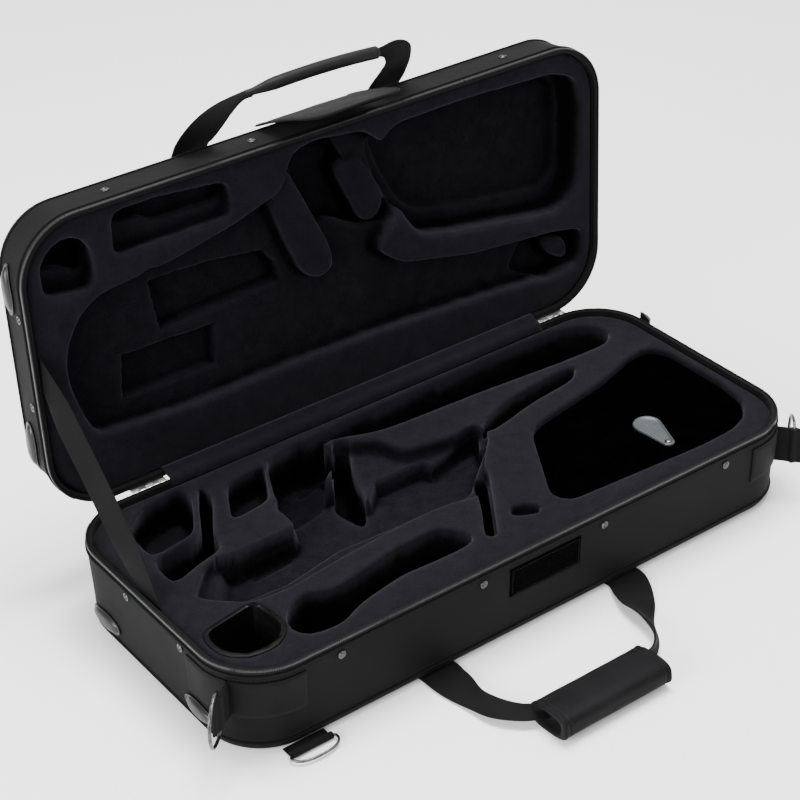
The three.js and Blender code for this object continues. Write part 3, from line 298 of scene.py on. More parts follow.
# A stitch: share of its length, its thickness there, how far it rises
STITCH = ((0, 0.35, -0.6), (0.25, 1, 0.6), (0.5, 1.1, 1), (0.75, 1, 0.6), (1, 0.35, -0.6))


def stitches(name, body, path, normals, place, length, gap, radius, lift=0.0, closed=False):
    """Small capsules of thread along a path, all in one mesh."""
    pts = [Vector(p) for p in path]
    if closed:
        pts = pts + [pts[0]]
    runs = [0.0]
    for a, b in zip(pts, pts[1:]):
        runs.append(runs[-1] + (b - a).length)
    total = runs[-1]

    def at(s):
        k = max(0, min(len(pts) - 2, int(np.searchsorted(runs, s)) - 1))
        t = (s - runs[k]) / max(runs[k + 1] - runs[k], 1e-9)
        n0, n1 = (Vector(normals[i % len(normals)]) for i in (k, k + 1))
        normal = n0.lerp(n1, t).normalized()
        return pts[k].lerp(pts[k + 1], t), (pts[k + 1] - pts[k]).normalized(), normal

    points, faces = [], []
    s = gap
    while s + length < total:
        start = len(points)
        for share, scale, rise in STITCH:
            p, along, normal = at(s + share * length)
            side = along.cross(normal).normalized()
            for k in range(6):
                angle = math.pi * k / 3
                up = radius * scale * math.sin(angle) + lift + radius * 0.4 * rise
                points.append(p + side * (radius * scale * math.cos(angle)) + normal * up)
        faces += drum_faces(len(STITCH), 6, start)
        s += length + gap
    finish_piece(make_mesh(name, points, faces, place), body, thread)


# ---- materials
class Look:
    """A Principled material with a few texture nodes behind its colour, roughness and bump."""

    def __init__(self, name, color, roughness, **sockets):
        self.material = bpy.data.materials.new(name)
        self.material.use_nodes = True
        self.tree = self.material.node_tree
        self.bsdf = self.tree.nodes["Principled BSDF"]
        sockets.update(Base_Color=(*color, 1), Roughness=roughness)
        for key, value in sockets.items():
            self.bsdf.inputs[key.replace("_", " ")].default_value = value
        self.height = None

    def node(self, kind, **inputs):
        made = self.tree.nodes.new(kind)
        for key, value in inputs.items():
            made.inputs[key].default_value = value
        return made

    def link(self, a, b):
        self.tree.links.new(a, b)

    def coordinates(self, kind="Object"):
        return self.node("ShaderNodeTexCoord").outputs[kind]

    def noise(self, scale, detail=3, roughness=0.6):
        made = self.node("ShaderNodeTexNoise", Scale=scale, Detail=detail, Roughness=roughness)
        self.link(self.coordinates(), made.inputs["Vector"])
        return made.outputs["Fac"]

    def cells(self, scale):
        made = self.node("ShaderNodeTexVoronoi", Scale=scale)
        self.link(self.coordinates(), made.inputs["Vector"])
        return made.outputs["Distance"]

    def wave(self, scale, direction, distortion):
        made = self.node("ShaderNodeTexWave", Scale=scale, Distortion=distortion)
        made.wave_type = "BANDS"
        made.bands_direction = direction
        self.link(self.coordinates("UV"), made.inputs["Vector"])
        return made.outputs["Fac"]

    def math(self, operation, a, b):
        """A math node on two values, each a number or a socket."""
        made = self.node("ShaderNodeMath")
        made.operation = operation
        for socket, value in zip(made.inputs, (a, b)):
            if isinstance(value, (int, float)):
                socket.default_value = value
            else:
                self.link(value, socket)
        return made.outputs[0]

    def mix(self, a, part_a, b, part_b):
        return self.math("ADD", self.math("MULTIPLY", a, part_a), self.math("MULTIPLY", b, part_b))

    def ramp(self, value, low, high, start, stop):
        """Two colours by a value, which is a socket or the numbers of a noise."""
        made = self.node("ShaderNodeValToRGB")
        made.color_ramp.elements[0].position = start
        made.color_ramp.elements[1].position = stop
        made.color_ramp.elements[0].color = (*low, 1)
        made.color_ramp.elements[1].color = (*high, 1)
        self.link(self.noise(*value) if isinstance(value, tuple) else value, made.inputs["Fac"])
        return made.outputs["Color"]

    def color(self, value, low, high, start=0.3, stop=0.7):
        self.link(self.ramp(value, low, high, start, stop), self.bsdf.inputs["Base Color"])

    def rough(self, value, low, high):
        self.link(self.ramp(value, (low,) * 3, (high,) * 3, 0.3, 0.7), self.bsdf.inputs["Roughness"])

    def bump(self, value, strength, distance):
        made = self.node("ShaderNodeBump", Strength=strength, Distance=distance)
        self.link(self.noise(*value) if isinstance(value, tuple) else value, made.inputs["Height"])
        if self.height is not None:
            self.link(self.height, made.inputs["Normal"])
        self.height = made.outputs["Normal"]
        self.link(self.height, self.bsdf.inputs["Normal"])


# Woven nylon: two crossing sets of threads, with a slow change of tone
nylon = Look("nylon", (0.006, 0.006, 0.0065), 0.68, Sheen_Weight=0.02, Sheen_Roughness=0.45,
             Specular_IOR_Level=0.06)
threads = nylon.math("MULTIPLY", nylon.wave(430.0, "X", 0.6), nylon.wave(430.0, "Y", 0.6))
slow = nylon.noise(9.0, 4, 0.55)
fine = nylon.noise(900.0, 2, 0.5)
nylon.color(nylon.mix(slow, 0.7, threads, 0.3), (0.0019, 0.0019, 0.0020), (0.0048, 0.0048, 0.0051))
nylon.rough(slow, 0.6, 0.78)
nylon.bump(nylon.math("ADD", threads, nylon.math("MULTIPLY", fine, 0.5)), 0.35, 0.00035)
nylon.bump((26.0, 3, 0.5), 0.25, 0.0016)

# Short pile: fine fibres, brushed patches, a soft edge light; the "shade" attribute is painted shade: it
# darkens the colour and weakens the sheen in the hollows, and lightens both on the ridges
plush = Look("plush", (0.005, 0.0045, 0.006), 0.95, Sheen_Roughness=0.4,
             Sheen_Tint=(0.46, 0.45, 0.52, 1), Specular_IOR_Level=0.03)
shade = plush.node("ShaderNodeAttribute")
shade.attribute_name = "shade"
grain = plush.noise(620.0, 5, 0.8)
brushed = plush.noise(70.0, 4, 0.6)
pile_tone = plush.mix(grain, 0.95, brushed, 0.35)
pile_tone = plush.math("SUBTRACT", pile_tone, 0.585)
# painted shade from the "shade" attribute, with the pile's own grain and brushed patches on top
tone = plush.math("ADD", plush.math("MULTIPLY", shade.outputs["Fac"], 0.8), pile_tone)
plush.color(tone, (0.0002, 0.0002, 0.0004), (0.0078, 0.0072, 0.0096), 0.18, 0.86)
# the sheen's weight follows the same painted shade: none in the darkest hollows, most on the ridges
sheen = plush.ramp(tone, (0.0, 0.0, 0.0), (0.165, 0.165, 0.168), 0.25, 0.85)
plush.link(sheen, plush.bsdf.inputs["Sheen Weight"])
plush.bump((1500.0, 2, 0.7), 0.55, 0.0006)
plush.bump(grain, 0.5, 0.0012)
plush.bump(brushed, 0.3, 0.0018)

# Felt on the cover
felt = Look("felt", (0.0006, 0.0007, 0.0009), 1.0, Specular_IOR_Level=0.0)
felt.color((55.0, 5, 0.7), (0.0001, 0.0001, 0.0002), (0.0005, 0.0005, 0.0007))
felt.bump((1100.0, 3, 0.7), 0.5, 0.0005)

# Ribbed webbing: ribs along its length, a fine twill across
webbing = Look("webbing", (0.003, 0.003, 0.0032), 0.7, Sheen_Weight=0.03, Sheen_Roughness=0.4,
               Specular_IOR_Level=0.07)
weave = webbing.mix(webbing.wave(240.0, "Y", 0.35), 0.7, webbing.wave(260.0, "X", 0.7), 0.3)
webbing.color(webbing.mix(weave, 0.5, webbing.noise(20.0), 0.5),
              (0.0014, 0.0014, 0.0015), (0.0046, 0.0046, 0.0050), 0.3, 0.75)
webbing.bump(weave, 0.4, 0.0004)

# Soft grained wrap on the handle
wrap_look = Look("wrap", (0.004, 0.004, 0.0044), 0.66, Sheen_Weight=0.03, Sheen_Roughness=0.4,
                 Specular_IOR_Level=0.06)
wrap_look.color((30.0, 4, 0.6), (0.0026, 0.0026, 0.0030), (0.0052, 0.0052, 0.0058))
wrap_look.rough((60.0, 3), 0.5, 0.7)
wrap_look.bump(wrap_look.cells(700.0), 0.3, 0.0004)
wrap_look.bump((40.0, 3), 0.25, 0.0012)

# Smooth piped grip
grip_look = Look("grip", (0.005, 0.005, 0.0052), 0.6, Sheen_Weight=0.03, Sheen_Roughness=0.4,
                 Specular_IOR_Level=0.11)
grip_look.color((60.0, 4, 0.6), (0.0034, 0.0034, 0.0036), (0.0064, 0.0064, 0.0068))
grip_look.rough((90.0, 3), 0.46, 0.62)
grip_look.bump((900.0, 2), 0.3, 0.0004)

# Moulded gloss plastic, faintly worn
gloss = Look("gloss_plastic", (0.003, 0.003, 0.0032), 0.3, Specular_IOR_Level=0.35)
gloss.rough((120.0, 4), 0.24, 0.42)
gloss.bump((500.0, 2), 0.08, 0.0003)

moulded = Look("moulding", (0.0012, 0.0012, 0.0014), 0.5, Specular_IOR_Level=0.1)
moulded.rough((200.0, 3), 0.34, 0.52)
moulded.bump((900.0, 2), 0.12, 0.0003)

# Metals
ring_metal = Look("ring_metal", (0.30, 0.30, 0.31), 0.3, Metallic=1.0)
ring_metal.rough((400.0, 4), 0.22, 0.4)
ring_metal.color((150.0, 3), (0.05, 0.05, 0.053), (0.13, 0.13, 0.134))
stud_metal = Look("stud_metal", (0.10, 0.10, 0.105), 0.25, Metallic=1.0)
stud_metal.rough((600.0, 3), 0.18, 0.34)
stud_metal.color((300.0, 3), (0.04, 0.04, 0.043), (0.10, 0.10, 0.105))
hinge_metal = Look("hinge_metal", (0.42, 0.41, 0.40), 0.36, Metallic=1.0)
hinge_metal.rough((260.0, 4), 0.3, 0.5)
hinge_metal.color((90.0, 3), (0.30, 0.29, 0.28), (0.52, 0.51, 0.50))
slider_metal = Look("slider_metal", (0.07, 0.07, 0.075), 0.32, Metallic=1.0)
slider_metal.rough((500.0, 3), 0.26, 0.42)

# Zip: woven tape, and a moulded coil that catches the light
tape_look = Look("zip_tape", (0.004, 0.004, 0.0043), 0.7, Specular_IOR_Level=0.1)
ribs = tape_look.wave(300.0, "X", 0.5)
tape_look.color(ribs, (0.0025, 0.0025, 0.0028), (0.006, 0.006, 0.0065))
tape_look.bump(ribs, 0.4, 0.0004)
coil_look = Look("zip_coil", (0.012, 0.012, 0.0125), 0.34, Specular_IOR_Level=0.4)
coil_look.rough((300.0, 3), 0.24, 0.4)

# Thread
thread = Look("thread", (0.010, 0.010, 0.0108), 0.6, Specular_IOR_Level=0.15)
thread.bump((1800.0, 2), 0.3, 0.0002)

# Pale ribbon of the cover's tab
pale = Look("pale_tab", (0.20, 0.215, 0.22), 0.42, Sheen_Weight=0.1)
pale.color((120.0, 4), (0.015, 0.018, 0.0195), (0.024, 0.029, 0.031))
pale.rough((260.0, 3), 0.36, 0.5)
pale.bump((700.0, 2), 0.15, 0.0003)

# Loop pile of the patches
pile = Look("loop_pile", (0.0008, 0.0008, 0.0009), 0.9, Specular_IOR_Level=0.01)
pile.color((300.0, 3), (0.0004, 0.0004, 0.0005), (0.0018, 0.0018, 0.0020))
pile.bump(pile.cells(620.0), 0.9, 0.0008)


# ---- shells
# How far in the flat of the outer face starts, how much the fabric gives between its seams, and how far
# the stitches run from the piping
FLAT, GIVE, SEAM_OFF = EDGE + 26.0, 0.55, 4.2


def noise_wave(p, size, seed):
    """A slow wave between about -0.5 and 0.5 over lengths of size."""
    return noise.noise(Vector((p[0] / size + seed, p[1] / size, p[2] / size)))


def shell_skin(tub, name, node):
    """Fabric skin: outer face, rounded edge, walls, rim and the inside down to the lining."""
    stations = [(FLAT, 0.0), (EDGE + 8.0, 0.0)]
    for i in range(7):
        angle = math.pi / 2 * i / 6
        stations.append((tub.lean(EDGE) + EDGE * (1 - math.sin(angle)), EDGE * (1 - math.cos(angle))))
    top = tub.depth - TAPE_WIDTH - SEAT
    levels = np.linspace(EDGE + 1, top - 0.2, 16 if tub is base_tub else 10)
    stations += [(tub.lean(z), z) for z in levels]
    stations += [(ZIP_STEP - 1.0, top), (ZIP_STEP, top + 0.3), (ZIP_STEP, tub.depth - 1.0)]
    stations += [(WALL, tub.depth - 1.0), (WALL + 0.2, tub.depth - 4), (WALL + 1.0, tub.depth - 16)]
    points, uvs = [], []
    run = 0.0
    for k, (inset, z) in enumerate(stations):
        if k:
            before = stations[k - 1]
            run += math.hypot(inset - before[0], z - before[1])
        for share in SHARES:
            p, n = outline_point(share, inset, z)
            wall_share = min(1.0, max(0.0, (z - 12) / 14)) * min(1.0, max(0.0, (top - 4 - z) / 10))
            if inset < WALL and k < len(stations) - 3:
                give = wall_share * GIVE * noise_wave(p, 46.0, tub.depth)
                p = (p[0] + n[0] * give, p[1] + n[1] * give, z)
            points.append(p)
            uvs.append((share * OUTLINE, run))
    count = len(SHARES)
    faces = grid_faces(len(stations), count, close_columns=True)
    # the flat outer face, filled to its middle
    start = len(points)
    rings = 6
    for r in range(1, rings):
        scale = 1 - r / rings
        for share in SHARES:
            p, _ = outline_point(share, FLAT, 0.0)
            points.append((p[0] * scale, p[1] * scale, 0.0))
            uvs.append((p[0] * scale, p[1] * scale))
    for j in range(count):
        faces.append((j, (j + 1) % count, start + (j + 1) % count, start + j))
    faces += grid_faces(rings - 1, count, close_columns=True, start=start)
    last = start + (rings - 2) * count
    points.append((0, 0, 0.0))
    uvs.append((0, 0))
    for j in range(count):
        faces.append((last + j, last + (j + 1) % count, len(points) - 1))
    obj = make_mesh(name, points, faces, tub.place, uvs, sharp=50)
    finish_piece(obj, tub.body, nylon, (node,))


def outline_path(inset, z):
    """Points round a level of the outline, and their ways out."""
    path, normals = [], []
    for share in SHARES:
        p, n = outline_point(share, inset, z)
        path.append(p)
        normals.append((n[0], n[1], 0))
    return path, normals


def piping(tub, name, z, stitch_side):
    """A piped seam round a tub, with a row of stitches beside it."""
    path, _ = outline_path(tub.lean(z) - 0.1, z)
    cord = ring_tube(name, path, PIPING + 0.15, tub.place)
    finish_piece(cord, tub.body, nylon)
    beside = z + stitch_side * SEAM_OFF
    path, normals = outline_path(tub.lean(beside), beside)
    stitches(name + "_stitches", tub.body, path, normals, tub.place, 2.7, 1.1, 0.24, 0.05, closed=True)


for tub, prefix in ((base_tub, "base"), (lid_tub, "lid")):
    shell_skin(tub, prefix + "_skin", prefix + "_shell")
    piping(tub, prefix + "_piping_outer", EDGE + PIPING, 1)
    piping(tub, prefix + "_piping_rim", tub.depth - TAPE_WIDTH - SEAT - PIPING, -1)


# ---- zip
# From link to link of the coil, how far from the back it ends, and a link's heights with half its size
# outward and along
LINK_PITCH, COIL_END = 1.9, 14
LINK = ((-1.5, 0.15, 0.35), (-1.2, 0.5, 0.6), (0.8, 0.55, 0.62), (1.15, 0.2, 0.4))


def zip_band(tub, prefix):
    """Tape on the rim, its woven edge turned out a little, and the coil along its top."""
    low = tub.depth - TAPE_WIDTH
    stations = [(ZIP_STEP - SEAT, low), (ZIP_STEP - 1.0, low - 0.2), (ZIP_STEP - 1.5, low + 0.8),
                (ZIP_STEP - 1.45, tub.depth - 1.6), (ZIP_STEP - 1.2, tub.depth - 0.2),
                (ZIP_STEP - SEAT, tub.depth - 0.1)]
    points, uvs = [], []
    for inset, z in stations:
        points += outline_path(inset, z)[0]
        uvs += [(share * OUTLINE, z) for share in SHARES]
    faces = grid_faces(len(stations), len(SHARES), True, True)
    tape = make_mesh(prefix + "_tape", points, faces, tub.place, uvs, sharp=60)
    finish_piece(tape, tub.body, tape_look, (prefix + "_zip_tape",))
    # coil: small rounded links from one back corner round the front to the other
    points, faces = [], []
    count = int(OUTLINE / LINK_PITCH)
    for i in range(count):
        share = i / count
        centre, n = outline_point(share, ZIP_STEP - 1.5, tub.depth - 1.3)
        if centre[1] * -tub.front > HALF_WIDTH - COIL_END:
            continue
        along = Vector((-n[1], n[0], 0))
        out = Vector((n[0], n[1], 0))
        middle = Vector(centre)
        start = len(points)
        for rise, half_out, half_along in LINK:
            for a, b in ((-1, -1), (1, -1), (1, 1), (-1, 1)):
                corner = along * (half_along * a) + out * (half_out * b)
                points.append(middle + corner + Vector((0, 0, rise)))
        faces += drum_faces(len(LINK), 4, start)
    coil = make_mesh(prefix + "_coil", points, faces, tub.place, smooth=False)
    finish_piece(coil, tub.body, coil_look)


zip_band(base_tub, "base")
zip_band(lid_tub, "lid")


# ---- linings
def cavity_shade(local, top):
    """Painted shade for each point, from how far it stands above or below its surroundings: from 0 in the
    corners to 1 on the ridges.
    """
    cell, margin = 2.0, 60
    across = (local[:, 0] + HALF_LENGTH) / cell + margin
    along = (local[:, 1] + HALF_WIDTH) / cell + margin
    columns, rows = across.astype(int), along.astype(int)
    right, ahead = across - columns, along - rows
    shape = (int(2 * HALF_LENGTH / cell) + 2 * margin + 1, int(2 * HALF_WIDTH / cell) + 2 * margin + 1)
    height = np.full(shape, -1.0)
    np.maximum.at(height, (columns, rows), local[:, 2])
    for _ in range(3):
        near = np.max([np.roll(height, move, axis) for move in (-1, 1) for axis in (0, 1)], axis=0)
        height = np.where(height < 0, near, height)
    height = np.where(height < 0, top + 2, height)

    def blurred(sigma):
        reach = int(3 * sigma / cell)
        kernel = np.exp(-0.5 * (np.arange(-reach, reach + 1) * cell / sigma) ** 2)
        kernel /= kernel.sum()
        soft = np.apply_along_axis(np.convolve, 0, height, kernel, mode="same")
        soft = np.apply_along_axis(np.convolve, 1, soft, kernel, mode="same")
        low = soft[columns, rows] * (1 - right) + soft[columns + 1, rows] * right
        high = soft[columns, rows + 1] * (1 - right) + soft[columns + 1, rows + 1] * right
        return low * (1 - ahead) + high * ahead

    # painted shade from folds and lips within a few millimetres, then from whole wells
    near = (local[:, 2] + cell / 5 - blurred(2.8)) / 5.0
    far = (local[:, 2] - blurred(15.0)) / 30.0
    near = np.where(near > 0, 0.26 * np.tanh(near), 0.36 * np.tanh(near))
    far = np.where(far > 0, 0.10 * np.tanh(far), 0.26 * np.tanh(far))
    # and more painted shade the deeper a floor lies
    depth = (top - local[:, 2]) / top
    return np.clip(0.68 + near + far - 0.24 * depth, 0.0, 1.0)


# How far the linings' tops lie below the rim, and the level under which the shells hide them
LINING_DROP, HIDDEN_BELOW = 5, 8.0
# Floor of the body's hollow: x, y, and how wide the slope is along the edge that starts there
BOWL = ((-268, -12, 14), (-240, 22, 7), (-219, 17, 4), (-160, 17, 4), (-152, 26, 4), (-156, 47, 4),
        (-104, 58, 2), (-85, 60, 1), (-80, 22, 1), (-70, 26, 4), (-50, 44, 4), (5, 42, 4), (10, 30, 4),
        (60, 31, 4), (64, 17, 6), (38, -4, 6), (12, -28, 8), (-15, -36, 13), (-75, -28, 15),
        (-136, -25, 16), (-202, -37, 16), (-245, -34, 16))
BOWL_TOP = 73.2
BOWL_DEPTH = 17.0
# Moulded ribs on the block behind it
RIBS = (-216, -152, 20, 48)
RIB_PITCH = 14.0
RIB_HEIGHT = 3.0

# Two wells of the lid lie nearer the hinge than in its solid: plugs fill those, and new ones are pressed
LID_PLANE = 28.5
PLUG_FOOT = 10.0
LID_PLUGS = (((-217, 34), (-208, 68), (-111, 53), (-79, 43), (-61, 22), (-65, 6), (-86, 3), (-213, 11)),
             ((-243, 26), (-155, 26), (-138, 17), (-136, -25), (-149, -30), (-246, -28)))
LID_WELLS = ((13.5, ((-191, 43, 2), (-130, 41, 2), (-67, 32, 2), (-54, 14, 2), (-50, -6, 3), (-184, -11, 2))),
             (12.0, ((-226, -21, 2), (-126, -24, 2), (-128, -68, 3), (-231, -66, 2))))


def pressed(local, outline, plane, depth):
    """The floor at plane pressed down by depth inside an outline, with a slope along each edge."""
    x, y, z = local[:, 0], local[:, 1], local[:, 2]
    inside = np.zeros(len(local), dtype=bool)
    share = np.ones(len(local))
    for (ax, ay, slope), (bx, by, _) in zip(outline, outline[1:] + outline[:1]):
        run, rise = bx - ax, (by - ay) or 1e-6
        inside ^= ((ay > y) != (by > y)) & (x < ax + (y - ay) * run / rise)
        along = np.clip(((x - ax) * run + (y - ay) * rise) / (run * run + rise * rise), 0, 1)
        share = np.minimum(share, np.hypot(x - ax - along * run, y - ay - along * rise) / slope)
    sink = depth * share * share * (3 - 2 * share)
    local[:, 2] = np.where(inside, np.minimum(z, plane - sink), z)


def hollowed(local):
    """The body's hollow pressed deeper, with ribs on the block beside it."""
    x, y, z = local[:, 0], local[:, 1], local[:, 2].copy()
    pressed(local, BOWL, BOWL_TOP, BOWL_DEPTH)
    x0, x1, y0, y1 = RIBS
    edge = np.clip(np.minimum(np.minimum(x - x0, x1 - x), np.minimum(y - y0, y1 - y)) / 4.0, 0, 1)
    ribs = RIB_HEIGHT * edge * (0.5 - 0.5 * np.cos(2 * math.pi * (y - y0) / RIB_PITCH))
    local[:, 2] += np.where(np.abs(z - BOWL_TOP) < 2, ribs, 0)


def plug(obj, tub):
    """Prisms in the wells that LID_PLUGS outlines, up to the floor round them."""
    bm = bmesh.new()
    bm.from_mesh(obj.data)
    for outline in LID_PLUGS:
        foot, head = ([bm.verts.new(tub.place @ Vector((x, y, z)) * MM) for x, y in outline]
                      for z in (PLUG_FOOT, LID_PLANE))
        bm.faces.new(foot)
        bm.faces.new(head)
        for k in range(len(foot)):
            bm.faces.new((foot[k - 1], foot[k], head[k], head[k - 1]))
    bmesh.ops.recalc_face_normals(bm, faces=bm.faces)
    bm.to_mesh(obj.data)
    bm.free()


def lining_piece(tub, node, name):
    """A moulded plush lining: the solid remeshed fine, its lips softened, the hidden back left off."""
    obj = copy_of(node, name)
    if tub is lid_tub:
        plug(obj, tub)
    soften(obj, *(((0.0017, 4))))
    mesh = obj.data
    co = np.empty(len(mesh.vertices) * 3, dtype=np.float32)
    mesh.vertices.foreach_get("co", co)
    back = tub.place.inverted()
    local = (co.reshape(-1, 3) / MM) @ np.array(back.to_3x3()).T + np.array(back.translation)
    if tub is base_tub:
        hollowed(local)
    else:
        for depth, outline in LID_WELLS:
            pressed(local, outline, LID_PLANE, depth)
    moved = (local @ np.array(tub.place.to_3x3()).T + np.array(tub.place.translation)) * MM
    mesh.vertices.foreach_set("co", moved.astype(np.float32).ravel())
    top = tub.depth - LINING_DROP
    # Painted shade in the plush's colour: the cavity shade, scaled by the half's pile factor
    shade = mesh.attributes.new("shade", "FLOAT", "POINT")
    shade.data.foreach_set("value", (tub.pile * cavity_shade(local, top)).astype(np.float32))
    # distance out of the shell's hollow, and with it what the shell hides
    inset = tub.lean(local[:, 2]) + WALL + 0.5
    qx = np.abs(local[:, 0]) - CORNER_X
    qy = np.abs(local[:, 1]) - CORNER_Y
    corner = np.hypot(np.maximum(qx, 0), np.maximum(qy, 0))
    outside = corner + np.minimum(np.maximum(qx, qy), 0) - CORNER + inset
    hidden = (local[:, 2] < HIDDEN_BELOW) | ((outside > -1.8) & (local[:, 2] < top - 8))
    bm = bmesh.new()
    bm.from_mesh(mesh)
    bm.verts.ensure_lookup_table()
    bmesh.ops.delete(bm, geom=[bm.verts[i] for i in np.nonzero(hidden)[0]], context="VERTS")
    bm.to_mesh(mesh)
    bm.free()
    smooth_shaded(obj)
    finish_piece(obj, tub.body, plush, (node,))


lining_piece(base_tub, "base_lining", "base_plush")
lining_piece(lid_tub, "lid_lining", "lid_plush")


# ---- compartment cover, tab, box
def rounded_cad(node, material, width=0.0, levels=0, sharp=40):
    """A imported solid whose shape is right: a bevel or a subdivision and a better material."""
    obj = nodes[node]
    obj.data.materials.clear()
    obj.data.materials.append(material.material)
    add_weld(obj)
    if width:
        bevel = obj.modifiers.new("bevel", "BEVEL")
        bevel.width = width
        bevel.segments = 2
        bevel.limit_method = "ANGLE"
        bevel.angle_limit = math.radians(38)
        bevel.harden_normals = False
    if levels:
        divide = obj.modifiers.new("divide", "SUBSURF")
        divide.levels = levels
        divide.render_levels = levels
    smooth_shaded(obj)
    obj.data.set_sharp_from_angle(angle=math.radians(sharp))


cover = copy_of("compartment_cover", "cover_board")
soften(cover, 0.0009, 4)
smooth_shaded(cover)
finish_piece(cover, "cover", felt, ("compartment_cover",))

TAB_AT = (0.615 * HALF_LENGTH, -0.62 * HALF_WIDTH)
TAB_TURN = math.radians(-8)
COVER_TOP = 81.0
TAB_PLACE = Matrix.Translation((TAB_AT[0], TAB_AT[1], COVER_TOP)) @ Matrix.Rotation(TAB_TURN, 4, "Z")


def tab_piece():
    """Teardrop pull tab: a dished leaf inside a raised rim, riveted at its narrow end."""
    wide, narrow, length = 14.0, 6.0, 35.0
    tangent = math.asin((wide - narrow) / length)
    outline = []
    for i in range(41):
        angle = -tangent + (math.pi + 2 * tangent) * i / 40
        outline.append((wide * math.cos(angle), length + wide * math.sin(angle)))
    for i in range(21):
        angle = math.pi + tangent + (math.pi - 2 * tangent) * i / 20
        outline.append((narrow * math.cos(angle), narrow * math.sin(angle)))
    middle = (0.0, length * 0.62)
    profile = [(0.90, 0.35), (0.985, 0.5), (1.0, 1.2), (0.985, 2.3), (0.95, 2.75),
               (0.91, 2.6), (0.86, 1.9), (0.72, 1.35), (0.5, 1.05), (0.25, 0.95)]
    points, uvs = [], []
    for scale, z in profile:
        for x, y in outline:
            px = middle[0] + (x - middle[0]) * scale
            py = middle[1] + (y - middle[1]) * scale
            points.append((px, py, z))
            uvs.append((px, py))
    leaf = make_mesh("tab_leaf", points, drum_faces(len(profile), len(outline)), TAB_PLACE, uvs, sharp=70)
    finish_piece(leaf, "cover_tab", pale, ("cover_tab",))
    rows = [(3.4, 1.5), (3.4, 2.4), (3.1, 2.9), (2.4, 3.4), (1.4, 3.75), (0.5, 3.85)]
    turns = [math.tau * k / 24 for k in range(24)]
    points = [(r * math.cos(a), r * math.sin(a), z) for r, z in rows for a in turns]
    rivet = make_mesh("tab_rivet", points, drum_faces(len(rows), len(turns)), TAB_PLACE)
    finish_piece(rivet, "cover_tab", ring_metal)


tab_piece()
rounded_cad("accessory_box", moulded, 0.0005)


# ---- walls' fittings
def wall_point(tub, end, t, z, out):
    """A point on a tub's end wall: t runs round the end from the rear to the front, out is off the wall."""
    radius = CORNER - tub.lean(z) + out
    past = abs(t) - CORNER_Y
    x, y = CORNER_X + radius, abs(t)
    if past > ARC:
        x, y = CORNER_X - (past - ARC), CORNER_Y + radius
    elif past > 0:
        angle = past / CORNER
        x, y = CORNER_X + radius * math.cos(angle), CORNER_Y + radius * math.sin(angle)
    return Vector((end * x, tub.front * math.copysign(1, t) * y, z))


BUMPER_RADIUS_ALONG, BUMPER_RADIUS_UP, BUMPER_HEIGHT = 25.0, 11.0, 5.02
BUMPER_LEVEL, BUMPER_CENTRE = 24.0, 79.5
# Shares of the radius and heights off the wall
BUMPER_PROFILE = ((0.98, 0.0), (1.0, 0.35), (1.0, 0.9), (0.985, 1.25), (0.955, 1.4), (0.925, 1.38),
                  (0.90, 1.22), (0.885, 0.95), (0.872, 0.98), (0.855, 1.4), (0.81, 2.3), (0.74, 3.15),
                  (0.64, 3.9), (0.5, 4.5), (0.34, 4.85), (0.17, 5.0))
STUD_PROFILE = ((3.6, 0.0), (4.0, 0.25), (4.0, 0.7), (3.8, 1.0), (3.3, 1.15), (3.05, 1.0), (2.85, 1.0),
                (2.7, 1.35), (2.2, 1.75), (1.5, 2.0), (0.8, 2.1))
SLOT_REACH, SLOT_HALF, SLOT_DEPTH = 2.3, 0.42, 0.55


def bumper(tub, end, point, name, node):
    """A teardrop guard with a raised rim: point is 1 for the front of an end wall, -1 for its rear."""
    around = 56
    points = []
    for share, height in BUMPER_PROFILE:
        for k in range(around):
            angle = math.tau * k / around
            narrow = 1 - 0.35 * (0.5 + 0.5 * math.cos(angle) * point)
            t = point * BUMPER_CENTRE + share * BUMPER_RADIUS_ALONG * math.cos(angle)
            z = BUMPER_LEVEL + share * BUMPER_RADIUS_UP * narrow * math.sin(angle)
            points.append(wall_point(tub, end, t, z, 2 * SEAT + height))
    points.append(wall_point(tub, end, point * BUMPER_CENTRE, BUMPER_LEVEL, 2 * SEAT + BUMPER_HEIGHT))
    obj = make_mesh(name, points, dome_faces(len(BUMPER_PROFILE), around), tub.place, sharp=75)
    finish_piece(obj, tub.body, gloss, (node,))


def stud(place, name, body, node):
    """A pressed washer and a domed head with a cross slot."""
    around = 28
    points = []
    for radius, height in STUD_PROFILE:
        for k in range(around):
            angle = math.tau * k / around
            x, y = radius * math.cos(angle), radius * math.sin(angle)
            slotted = radius < SLOT_REACH and min(abs(x), abs(y)) < SLOT_HALF
            points.append((x, y, height - (SLOT_DEPTH if slotted else 0.0)))
    points.append((0, 0, 1.5))
    obj = make_mesh(name, points, dome_faces(len(STUD_PROFILE), around), place, sharp=55)
    finish_piece(obj, body, stud_metal, (node,))


def frame_on(tub, way, at):
    """A frame on the wall that faces way: its z stands off the wall, its y runs up it."""
    tilt = math.atan2(tub.taper, tub.depth)
    way = Vector(way)
    out = way * math.cos(tilt) - Vector((0, 0, math.sin(tilt)))
    up = way * math.sin(tilt) + Vector((0, 0, math.cos(tilt)))
    frame = Matrix((up.cross(out), up, out)).transposed().to_4x4()
    frame.translation = Vector(at) - way * tub.lean(at[2]) + out * SEAT
    return tub.place @ frame


def front_frame(tub, x, z):
    return frame_on(tub, (0, tub.front, 0), (x, tub.front * HALF_WIDTH, z))


